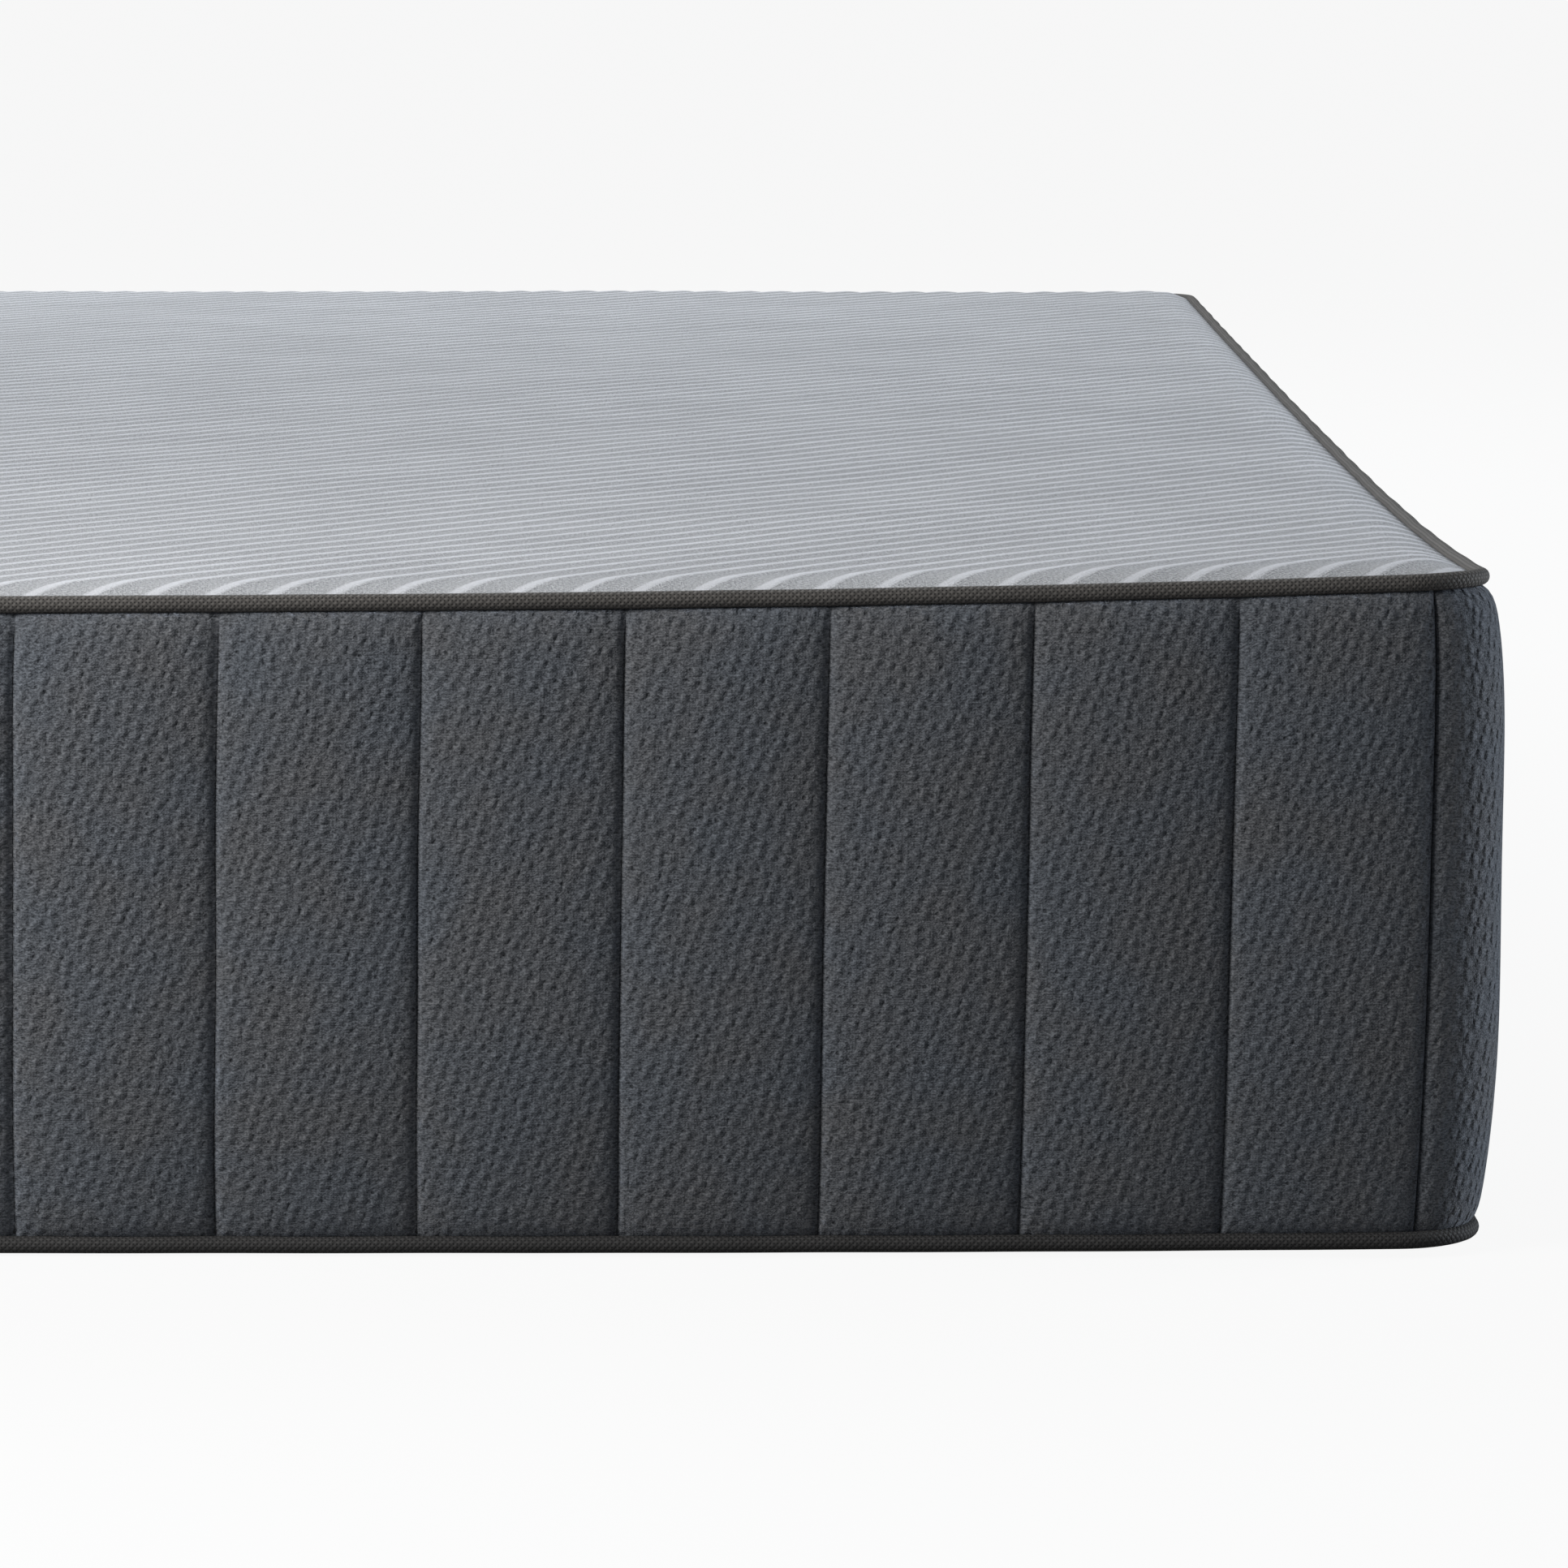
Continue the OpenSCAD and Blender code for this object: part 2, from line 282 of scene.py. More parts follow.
class Pen:
    """Writes nodes into a node tree with few words."""

    def __init__(self, tree: bpy.types.NodeTree) -> None:
        """Takes the tree to write into."""
        self.tree = tree

    def node(self, kind: str, **settings: object) -> bpy.types.Node:
        """Adds a node of a kind and sets its properties.

        Args:
            kind: name of the node type.
            settings: properties of the node and their values.

        Returns:
            The new node.
        """
        made = self.tree.nodes.new(kind)
        for name, value in settings.items():
            setattr(made, name, value)
        return made

    def feed(self, socket: Socket, value: object) -> None:
        """Links a socket to another socket, or sets it to a constant.

        Args:
            socket: the socket to feed.
            value: a socket or a constant.
        """
        if isinstance(value, bpy.types.NodeSocket):
            self.tree.links.new(value, socket)
        else:
            socket.default_value = value

    def math(self, operation: str, a: object, b: object = 0.0, c: object = 0.0) -> Socket:
        """Adds a maths node and returns its result.

        Args:
            operation: which sum to do.
            a: first value.
            b: second value.
            c: third value.

        Returns:
            The socket with the result.
        """
        made = self.node("ShaderNodeMath", operation=operation)
        for socket, value in zip(made.inputs, (a, b, c)):
            self.feed(socket, value)
        return made.outputs[0]

    def vector_math(self, operation: str, a: object, b: object = (0, 0, 0)) -> Socket:
        """Adds a vector maths node and returns its vector.

        Args:
            operation: which sum to do.
            a: first value.
            b: second value.

        Returns:
            The socket with the result.
        """
        made = self.node("ShaderNodeVectorMath", operation=operation)
        self.feed(made.inputs[0], a)
        self.feed(made.inputs[1], b)
        return made.outputs[0]

    def scaled(self, vector: object, factor: object) -> Socket:
        """Scales a vector, or a colour, by a value.

        Args:
            vector: the vector or its socket.
            factor: what to multiply by.

        Returns:
            The socket with the result.
        """
        made = self.node("ShaderNodeVectorMath", operation="SCALE")
        self.feed(made.inputs[0], vector)
        self.feed(made.inputs[3], factor)
        return made.outputs[0]

    def noise(self, vector: object, scale: float, detail: float = 2.0, rough: float = 0.5) -> Socket:
        """Adds a noise texture and returns its value.

        Args:
            vector: where to read the pattern.
            scale: how fine the pattern is.
            detail: number of finer layers.
            rough: strength of the finer layers.

        Returns:
            The socket with the result.
        """
        made = self.node("ShaderNodeTexNoise")
        self.feed(made.inputs["Vector"], vector)
        self.feed(made.inputs["Scale"], scale)
        self.feed(made.inputs["Detail"], detail)
        self.feed(made.inputs["Roughness"], rough)
        return made.outputs[0]

    def ramp(
        self, value: Socket, low: float, high: float, to_low: float = 0.0, to_high: float = 1.0
    ) -> Socket:
        """Maps a value smoothly from one range to another.

        Args:
            value: the value to map.
            low: value that gives to_low.
            high: value that gives to_high.
            to_low: result at the low end.
            to_high: result at the high end.

        Returns:
            The socket with the result.
        """
        made = self.node("ShaderNodeMapRange", interpolation_type="SMOOTHSTEP")
        for socket, number in zip(made.inputs, (value, low, high, to_low, to_high)):
            self.feed(socket, number)
        return made.outputs[0]

    def mix(self, share: object, a: object, b: object) -> Socket:
        """Mixes two colours by a share.

        Args:
            share: share of the second colour.
            a: first colour.
            b: second colour.

        Returns:
            The socket with the result.
        """
        made = self.node("ShaderNodeMix", data_type="RGBA")
        self.feed(made.inputs[0], share)
        self.feed(made.inputs[6], solid(a))
        self.feed(made.inputs[7], solid(b))
        return made.outputs[2]

    def bump(self, height: Socket, strength: float, depth: float = MM) -> Socket:
        """Turns a height in units of depth into a normal.

        Args:
            height: the height.
            strength: how much of the relief counts.
            depth: metres in one unit of height.

        Returns:
            The socket with the result.
        """
        made = self.node("ShaderNodeBump")
        self.feed(made.inputs["Strength"], strength)
        self.feed(made.inputs["Distance"], depth)
        self.feed(made.inputs["Height"], height)
        return made.outputs[0]

    def group(self, tree: bpy.types.NodeTree, **values: object) -> bpy.types.Node:
        """Places a node group and feeds its inputs, with _ in a name for a space.

        Args:
            tree: the group to place.
            values: its inputs by name.

        Returns:
            The new node.
        """
        made = self.node("ShaderNodeGroup", node_tree=tree)
        for name, value in values.items():
            self.feed(made.inputs[name.replace("_", " ")], value)
        return made


def solid(colour: object) -> object:
    """Gives a three-part colour an alpha of 1, and passes a socket through.

    Args:
        colour: three or four parts, or a socket.

    Returns:
        The colour as a socket takes it.
    """
    if isinstance(colour, bpy.types.NodeSocket) or len(colour) == 4:
        return colour
    return (*colour, 1.0)


def new_group(name: str, inputs: dict[str, str], outputs: dict[str, str]) -> tuple:
    """Starts a shader node group.

    Args:
        name: what the group is called.
        inputs: socket name to socket type, without the NodeSocket before it.
        outputs: the same for what it puts out.

    Returns:
        The group, its pen, its input node and its output node.
    """
    tree = bpy.data.node_groups.new(name, "ShaderNodeTree")
    for way, sockets in (("INPUT", inputs), ("OUTPUT", outputs)):
        for label, kind in sockets.items():
            tree.interface.new_socket(label, in_out=way, socket_type=f"NodeSocket{kind}")
    pen = Pen(tree)
    return tree, pen, pen.node("NodeGroupInput"), pen.node("NodeGroupOutput")


def melange_group() -> bpy.types.NodeTree:
    """Mixed yarns: fine flecks, and slow clouds where the dye took differently.

    Returns:
        The group.
    """
    tree, pen, given, out = new_group(
        "melange",
        {"Vector": "Vector", "Fleck Size": "Float", "Cloud Size": "Float"},
        {"Flecks": "Float", "Clouds": "Float"},
    )
    fleck_at = pen.scaled(given.outputs[0], pen.math("DIVIDE", 1.0, given.outputs[1]))
    long_flecks = pen.vector_math("MULTIPLY", fleck_at, (0.55, 1.0, 1.0))
    flecks = pen.noise(long_flecks, 1.0, 2.0, 0.7)
    cloud_at = pen.scaled(given.outputs[0], pen.math("DIVIDE", 1.0, given.outputs[2]))
    clouds = pen.noise(cloud_at, 1.0, 2.0, 0.55)
    pen.feed(out.inputs[0], pen.ramp(flecks, 0.28, 0.72))
    pen.feed(out.inputs[1], pen.ramp(clouds, 0.3, 0.7))
    return tree


def loops_group() -> bpy.types.NodeTree:
    """Knitted loops: rows of small humps, each row set half a loop along.

    Returns:
        The group.
    """
    tree, pen, given, out = new_group(
        "knitted_loops", {"Vector": "Vector", "Loop Size": "Float"}, {"Height": "Float"}
    )
    at = pen.scaled(given.outputs[0], pen.math("DIVIDE", math.tau, given.outputs[1]))
    axes = pen.node("ShaderNodeSeparateXYZ")
    pen.feed(axes.inputs[0], at)
    rows = pen.math("SINE", axes.outputs[1])
    stagger = pen.math("MULTIPLY", pen.math("SIGN", rows), 0.8)
    loops = pen.math("SINE", pen.math("ADD", axes.outputs[0], stagger))
    humps = pen.math("MULTIPLY_ADD", loops, 0.35, pen.math("ABSOLUTE", rows))
    pen.feed(out.inputs[0], humps)
    return tree


def dimples_group() -> bpy.types.NodeTree:
    """Slanted lattice of pinched dimples in a padded knit, with soft swells between.

    Returns:
        The group.
    """
    tree, pen, given, out = new_group(
        "dimples",
        {"Vector": "Vector", "Slant": "Float", "Across": "Float", "Up": "Float"},
        {"Height": "Float", "Pinch": "Float"},
    )
    turn = pen.node("ShaderNodeVectorRotate", rotation_type="Z_AXIS")
    pen.feed(turn.inputs["Vector"], given.outputs[0])
    pen.feed(turn.inputs["Angle"], given.outputs[1])
    pitch = pen.node("ShaderNodeCombineXYZ")
    pen.feed(pitch.inputs[0], given.outputs[2])
    pen.feed(pitch.inputs[1], given.outputs[3])
    pitch.inputs[2].default_value = 1.0
    cells = pen.vector_math("DIVIDE", turn.outputs[0], pitch.outputs[0])
    scatter = 0.42
    lattice = pen.node("ShaderNodeTexVoronoi", voronoi_dimensions="2D")
    lattice.inputs["Scale"].default_value = 1.0
    lattice.inputs["Randomness"].default_value = scatter
    pen.feed(lattice.inputs["Vector"], cells)
    away = lattice.outputs["Distance"]
    raised = pen.node("ShaderNodeTexVoronoi", voronoi_dimensions="2D")
    raised.inputs["Scale"].default_value = 1.0
    raised.inputs["Randomness"].default_value = scatter
    pen.feed(raised.inputs["Vector"], pen.vector_math("ADD", cells, (-0.34, 0.12, 0.0)))
    swell = pen.ramp(raised.outputs["Distance"], 0.05, 0.5, 1.0, 0.0)
    uneven = pen.noise(cells, 0.9, 1.0, 0.5)
    height = pen.math("MULTIPLY", swell, pen.ramp(uneven, 0.25, 0.75, 0.55, 1.25))
    pen.feed(out.inputs[0], height)
    open_pinch = pen.ramp(pen.noise(cells, 0.55, 1.0, 0.5), 0.35, 0.65, 0.25, 1.0)
    pen.feed(out.inputs[1], pen.math("MULTIPLY", pen.ramp(away, 0.05, 0.2, 1.0, 0.0), open_pinch))
    return tree


def weave_group() -> bpy.types.NodeTree:
    """Plain weave: threads that cross over and under, with a mask of the pinhole between, which woven
    tapes paint dark as shade.

    Returns:
        The group.
    """
    tree, pen, given, out = new_group(
        "plain_weave", {"Vector": "Vector", "Pitch": "Float"}, {"Height": "Float", "Holes": "Float"}
    )
    at = pen.scaled(given.outputs[0], pen.math("DIVIDE", math.pi, given.outputs[1]))
    axes = pen.node("ShaderNodeSeparateXYZ")
    pen.feed(axes.inputs[0], at)
    across = pen.math("SINE", axes.outputs[0])
    up = pen.math("SINE", axes.outputs[1])
    crossing = pen.math("MULTIPLY", across, up)
    crowns = pen.math("MULTIPLY_ADD", crossing, 0.5, 0.5)
    grid = pen.math("MAXIMUM", pen.math("ABSOLUTE", across), pen.math("ABSOLUTE", up))
    pen.feed(out.inputs[0], crowns)
    pen.feed(out.inputs[1], pen.ramp(grid, 0.3, 0.75, 1.0, 0.0))
    return tree


def pores_group() -> bpy.types.NodeTree:
    """Open cells of a cut foam face.

    Returns:
        The group.
    """
    tree, pen, given, out = new_group(
        "foam_pores", {"Vector": "Vector", "Cell": "Float"}, {"Height": "Float", "Pores": "Float"}
    )
    at = pen.scaled(given.outputs[0], pen.math("DIVIDE", 1.0, given.outputs[1]))
    cells = pen.node("ShaderNodeTexVoronoi", feature="SMOOTH_F1")
    cells.inputs["Scale"].default_value = 1.0
    pen.feed(cells.inputs["Vector"], at)
    grain = pen.noise(at, 0.31, 3.0, 0.6)
    pen.feed(out.inputs[0], pen.math("ADD", cells.outputs["Distance"], grain))
    pen.feed(out.inputs[1], pen.ramp(cells.outputs["Distance"], 0.12, 0.4, 1.0, 0.0))
    return tree


def wear_group() -> bpy.types.NodeTree:
    """Fine scratches and rubbed patches on a small metal part.

    Returns:
        The group.
    """
    tree, pen, given, out = new_group(
        "metal_wear", {"Vector": "Vector"}, {"Rub": "Float", "Scratch": "Float"}
    )
    patches = pen.noise(given.outputs[0], 420.0, 3.0, 0.6)
    brushed = pen.vector_math("MULTIPLY", given.outputs[0], (900.0, 900.0, 9000.0))
    streaks = pen.noise(brushed, 1.0, 2.0, 0.6)
    pen.feed(out.inputs[0], pen.ramp(patches, 0.35, 0.7))
    pen.feed(out.inputs[1], streaks)
    return tree


@dataclass(frozen=True)
class Groups:
    """The shared effects, built once."""

    melange: bpy.types.NodeTree
    loops: bpy.types.NodeTree
    dimples: bpy.types.NodeTree
    weave: bpy.types.NodeTree
    pores: bpy.types.NodeTree
    wear: bpy.types.NodeTree


def build_groups() -> Groups:
    """Builds every shared effect.

    Returns:
        The groups.
    """
    return Groups(
        melange_group(), loops_group(), dimples_group(), weave_group(), pores_group(), wear_group()
    )


GROUPS = build_groups()


class Coordinates(Enum):
    """What a finish's pattern follows."""

    CLOTH = "the piece's own cloth map"
    OBJECT = "the object's own space"


def start_material(
    name: str, coordinates: Coordinates
) -> tuple[bpy.types.Material, Pen, bpy.types.Node, Socket]:
    """Starts a material with a Principled shader.

    Args:
        name: the material's name.
        coordinates: what its pattern follows.

    Returns:
        The material, its pen, its shader and its coordinates in metres.
    """
    material = bpy.data.materials.new(name)
    material.use_nodes = True
    material.node_tree.nodes.clear()
    pen = Pen(material.node_tree)
    shader = pen.node("ShaderNodeBsdfPrincipled")
    out = pen.node("ShaderNodeOutputMaterial")
    pen.feed(out.inputs[0], shader.outputs[0])
    if coordinates is Coordinates.CLOTH:
        at = pen.node("ShaderNodeUVMap", uv_map=CLOTH_MAP).outputs[0]
    else:
        at = pen.node("ShaderNodeTexCoord").outputs["Object"]
    return material, pen, shader, at


@dataclass(frozen=True)
class BorderKnit:
    """Dark padded melange knit with a slanted lattice of dimples, painted lighter on the swells as a
    highlight and darker in the pinholes as shade.
    """

    dark: Colour = (0.036, 0.039, 0.044)
    light: Colour = (0.158, 0.168, 0.184)
    warm: Colour = (1.03, 0.99, 0.96)
    cool: Colour = (0.97, 1.0, 1.04)
    slant: float = math.radians(19.4)
    across: float = 5.68 * MM
    up: float = 5.10 * MM
    loop: float = 1.15 * MM
    roughness: float = 0.92

    def material(self) -> bpy.types.Material:
        """Builds the material.

        Returns:
            The material.
        """
        material, pen, shader, at = start_material("border_knit", Coordinates.CLOTH)
        bent = pen.noise(at, 70.0, 1.0, 0.5)
        drift = pen.scaled((1.0, 0.7, 0.0), pen.math("MULTIPLY", bent, 3.0 * MM))
        cloth_at = pen.vector_math("ADD", at, drift)
        yarn = pen.group(GROUPS.melange, Vector=at, Fleck_Size=0.75 * MM, Cloud_Size=42 * MM)
        lattice = pen.group(
            GROUPS.dimples, Vector=cloth_at, Slant=self.slant, Across=self.across, Up=self.up
        )
        loops = pen.group(GROUPS.loops, Vector=at, Loop_Size=self.loop)
        tone = pen.mix(yarn.outputs[0], self.dark, self.light)
        dyed = pen.vector_math("MULTIPLY", tone, pen.mix(yarn.outputs[1], self.warm, self.cool))
        # Painted light: the swells are lightened as a highlight and the pinholes darkened as shade.
        painted_swell_highlight = pen.ramp(lattice.outputs[0], 0.0, 1.1, 0.97, 1.1)
        painted_pinch_shade = pen.math("SUBTRACT", 1.0, pen.math("MULTIPLY", lattice.outputs[1], 0.5))
        shade = pen.math("MULTIPLY", painted_swell_highlight, painted_pinch_shade)
        pen.feed(shader.inputs["Base Color"], pen.scaled(dyed, shade))
        fuzz = pen.math("MULTIPLY", yarn.outputs[0], 0.22)
        fine = pen.math("MULTIPLY_ADD", loops.outputs[0], 0.07, fuzz)
        pinched = pen.math("MULTIPLY_ADD", lattice.outputs[1], -0.5, lattice.outputs[0])
        height = pen.math("ADD", pinched, fine)
        pen.feed(shader.inputs["Normal"], pen.bump(height, 1.0, 1.1 * MM))
        shader.inputs["Roughness"].default_value = self.roughness
        shader.inputs["Sheen Weight"].default_value = 0.35
        shader.inputs["Sheen Roughness"].default_value = 0.4
        shader.inputs["Sheen Tint"].default_value = (0.72, 0.8, 0.95, 1.0)
        shader.inputs["Specular IOR Level"].default_value = 0.2
        return material


@dataclass(frozen=True)
class TopKnit:
    """Pale ribbed knit, smoother along the top of each rib, where a painted highlight lightens its colour.
    """

    dark: Colour = (0.225, 0.228, 0.235)
    light: Colour = (0.515, 0.52, 0.535)
    crest_highlight: Colour = (0.585, 0.59, 0.62)
    pitch: float = SIZES.rib_pitch
    loop: float = 1.3 * MM
    roughness: float = 0.85

    def material(self) -> bpy.types.Material:
        """Builds the material. The map runs across the ribs, then along them.

        Returns:
            The material.
        """
        material, pen, shader, at = start_material("top_knit", Coordinates.CLOTH)
        yarn = pen.group(GROUPS.melange, Vector=at, Fleck_Size=0.8 * MM, Cloud_Size=90 * MM)
        loops = pen.group(GROUPS.loops, Vector=at, Loop_Size=self.loop)
        axes = pen.node("ShaderNodeSeparateXYZ")
        pen.feed(axes.inputs[0], at)
        phase = pen.math("MULTIPLY", axes.outputs[0], math.tau / self.pitch)
        # Painted highlight: the top of each rib is mixed towards a lighter colour.
        crest_highlight = pen.ramp(pen.math("COSINE", phase), 0.45, 1.0)
        heather = pen.mix(yarn.outputs[0], self.dark, self.light)
        heather_with_crest_highlight = pen.mix(pen.math("MULTIPLY", crest_highlight, 0.75), heather, self.crest_highlight)
        cloudy = pen.scaled(heather_with_crest_highlight, pen.ramp(yarn.outputs[1], 0.0, 1.0, 0.96, 1.04))
        pen.feed(shader.inputs["Base Color"], cloudy)
        calm = pen.math("SUBTRACT", 1.0, pen.math("MULTIPLY", crest_highlight, 0.6))
        grain = pen.math("MULTIPLY_ADD", loops.outputs[0], 0.4, yarn.outputs[0])
        pen.feed(shader.inputs["Normal"], pen.bump(pen.math("MULTIPLY", grain, calm), 0.9, 0.45 * MM))
        shader.inputs["Roughness"].default_value = self.roughness
        shader.inputs["Sheen Weight"].default_value = 0.25
        shader.inputs["Sheen Roughness"].default_value = 0.5
        shader.inputs["Sheen Tint"].default_value = (0.85, 0.9, 1.0, 1.0)
        shader.inputs["Specular IOR Level"].default_value = 0.2
        return material


@dataclass(frozen=True)
class WovenTape:
    """Close plain weave, painted lighter on its thread crowns as a highlight and dark in the pinholes
    between its threads as shade.
    """

    name: str
    thread: Colour
    hole_shade: Colour
    pitch: float = 1.45 * MM
    depth: float = 0.35 * MM
    roughness: float = 0.75

    def material(self) -> bpy.types.Material:
        """Builds the material.

        Returns:
            The material.
        """
        material, pen, shader, at = start_material(self.name, Coordinates.CLOTH)
        weave = pen.group(GROUPS.weave, Vector=at, Pitch=self.pitch)
        yarn = pen.group(GROUPS.melange, Vector=at, Fleck_Size=0.6 * MM, Cloud_Size=30 * MM)
        # Painted highlight: the crowns of the threads are lightened.
        painted_crown_highlight = pen.ramp(weave.outputs[0], 0.0, 1.0, 0.72, 1.2)
        crown_highlight_and_flecks = pen.math("MULTIPLY", painted_crown_highlight, pen.ramp(yarn.outputs[0], 0.0, 1.0, 0.85, 1.15))
        clouded = pen.math("MULTIPLY", crown_highlight_and_flecks, pen.ramp(yarn.outputs[1], 0.0, 1.0, 0.93, 1.07))
        threads = pen.scaled(self.thread, clouded)
        # Painted shade: the pinholes between the threads take the dark hole colour.
        pen.feed(shader.inputs["Base Color"], pen.mix(weave.outputs[1], threads, self.hole_shade))
        height = pen.math("MULTIPLY_ADD", weave.outputs[1], -0.8, weave.outputs[0])
        pen.feed(shader.inputs["Normal"], pen.bump(height, 0.8, self.depth))
        shader.inputs["Roughness"].default_value = self.roughness
        shader.inputs["Specular IOR Level"].default_value = 0.3
        return material


class Grain(Enum):
    """How the face of a plain finish is broken up."""

    LOOPS = "knitted loops"
    WEAVE = "plain weave"
    PORES = "open foam cells"
    FIBRES = "loose fibres"
    DOTS = "raised grip dots"


@dataclass(frozen=True)
class PlainFinish:
    """Finish of a part that is mostly hidden: two tones and one grain, with painted shade in the grain's
    hollows.
    """

    name: str
    dark: Colour
    light: Colour
    grain: Grain
    size: float
    depth: float
    roughness: float = 0.85

    def height(self, pen: Pen, at: Socket) -> Socket:
        """Height of the grain, from about 0 to 1.

        Args:
            pen: writes into the material.
            at: coordinates in metres.

        Returns:
            The socket with the result.
        """
        if self.grain is Grain.LOOPS:
            return pen.group(GROUPS.loops, Vector=at, Loop_Size=self.size).outputs[0]
        if self.grain is Grain.WEAVE:
            return pen.group(GROUPS.weave, Vector=at, Pitch=self.size).outputs[0]
        if self.grain is Grain.PORES:
            return pen.group(GROUPS.pores, Vector=at, Cell=self.size).outputs[0]
        if self.grain is Grain.FIBRES:
            drawn_out = (1 / self.size, 0.2 / self.size, 1.0)
            return pen.noise(pen.vector_math("MULTIPLY", at, drawn_out), 1.0, 4.0, 0.7)
        wave = pen.group(GROUPS.weave, Vector=at, Pitch=self.size)
        return pen.ramp(wave.outputs[0], 0.72, 0.86)

    def material(self, coordinates: Coordinates = Coordinates.CLOTH) -> bpy.types.Material:
        """Builds the material.

        Args:
            coordinates: what the pattern follows.

        Returns:
            The material.
        """
        material, pen, shader, at = start_material(self.name, coordinates)
        height = self.height(pen, at)
        yarn = pen.group(GROUPS.melange, Vector=at, Fleck_Size=self.size, Cloud_Size=60 * MM)
        # Half of the tone follows the grain's height, a painted shade that darkens its hollows; the other
        # half follows the melange flecks.
        share = pen.math("MULTIPLY_ADD", height, 0.5, pen.math("MULTIPLY", yarn.outputs[0], 0.5))
        toned = pen.mix(share, self.dark, self.light)
        clouded = pen.scaled(toned, pen.ramp(yarn.outputs[1], 0.0, 1.0, 0.94, 1.05))
        pen.feed(shader.inputs["Base Color"], clouded)
        pen.feed(shader.inputs["Normal"], pen.bump(height, 0.7, self.depth))
        shader.inputs["Roughness"].default_value = self.roughness
        shader.inputs["Specular IOR Level"].default_value = 0.3
        return material


@dataclass(frozen=True)
class WornMetal:
    """Plated zinc of the zip's small parts, rubbed in scattered patches."""

    name: str = "zip_metal"
    plate: Colour = (0.26, 0.265, 0.275)
    rubbed: Colour = (0.52, 0.52, 0.53)
    roughness: float = 0.34

    def material(self) -> bpy.types.Material:
        """Builds the material.

        Returns:
            The material.
        """
        material, pen, shader, at = start_material(self.name, Coordinates.OBJECT)
        wear = pen.group(GROUPS.wear, Vector=at)
        pen.feed(shader.inputs["Base Color"], pen.mix(wear.outputs[0], self.plate, self.rubbed))
        rough = pen.math("MULTIPLY_ADD", wear.outputs[1], 0.22, self.roughness - 0.1)
        pen.feed(shader.inputs["Roughness"], rough)
        pen.feed(shader.inputs["Normal"], pen.bump(wear.outputs[1], 0.3, 0.05 * MM))
        shader.inputs["Metallic"].default_value = 1.0
        return material


# ---------------------------------------------------------------------------
# Building pieces
# ---------------------------------------------------------------------------


def finish_piece(
    name: str,
    shape: bmesh.types.BMesh,
    material: bpy.types.Material,
    slot: str,
    nodes: Iterable[str] = (),
    body: str = ROOT,
) -> bpy.types.Object:
    """slot: the record's material slot; not used.
        nodes: the CAD nodes that it stands for.
        body: the CAD body that it moves with.

    Returns:
        The new object.
    """
    for face in shape.faces:
        face.smooth = True
    mesh = bpy.data.meshes.new(name)
    shape.to_mesh(mesh)
    shape.free()
    mesh.materials.append(material)
    piece = bpy.data.objects.new(name, mesh)
    bpy.context.scene.collection.objects.link(piece)
    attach(piece, body)
    if nodes:
        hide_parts(*nodes)
    log.info("%s: %d faces", name, len(mesh.polygons))
    return piece


def mapped_grid(
    columns: list[float],
    rows: list[float],
    place: Callable[[float, float], Vector],
    cloth: Callable[[float, float], tuple[float, float]] = lambda a, b: (a, b),
) -> bmesh.types.BMesh:
    """A grid laid out by a rule, with its cloth map.

    Args:
        columns: values of the first coordinate, one for each column of points.
        rows: values of the second coordinate, one for each row.
        place: gives the point for a pair of values.
        cloth: gives the place in the cloth map, in metres, for a pair of values.

    Returns:
        The mesh. The caller frees it.
    """
    shape = bmesh.new()
    across, up = len(columns) - 1, len(rows) - 1
    bmesh.ops.create_grid(shape, x_segments=across, y_segments=up, size=0.5)
    layer = shape.loops.layers.uv.new(CLOTH_MAP)
    values = {}
    for vertex in shape.verts:
        column = columns[round((vertex.co.x + 0.5) * across)]
        row = rows[round((vertex.co.y + 0.5) * up)]
        values[vertex] = (column, row)
    for face in shape.faces:
        for loop in face.loops:
            loop[layer].uv = cloth(*values[loop.vert])
    for vertex, (column, row) in values.items():
        vertex.co = place(column, row)
    return shape


def close_seams(shape: bmesh.types.BMesh, reach: float = 1e-6) -> None:
    """Merges points that lie on each other and turns every face outwards."""
    bmesh.ops.remove_doubles(shape, verts=shape.verts, dist=reach)
    bmesh.ops.recalc_face_normals(shape, faces=shape.faces)


def map_by_facing(shape: bmesh.types.BMesh) -> None:
    """Lays the cloth map over each face along the two axes that it faces least.

    Args:
        shape: the mesh to work on.
    """
    layer = shape.loops.layers.uv.new(CLOTH_MAP)
    for face in shape.faces:
        facing = [abs(part) for part in face.normal]
        away = facing.index(max(facing))
        axes = [axis for axis in range(3) if axis != away]
        for loop in face.loops:
            loop[layer].uv = (loop.vert.co[axes[0]], loop.vert.co[axes[1]])


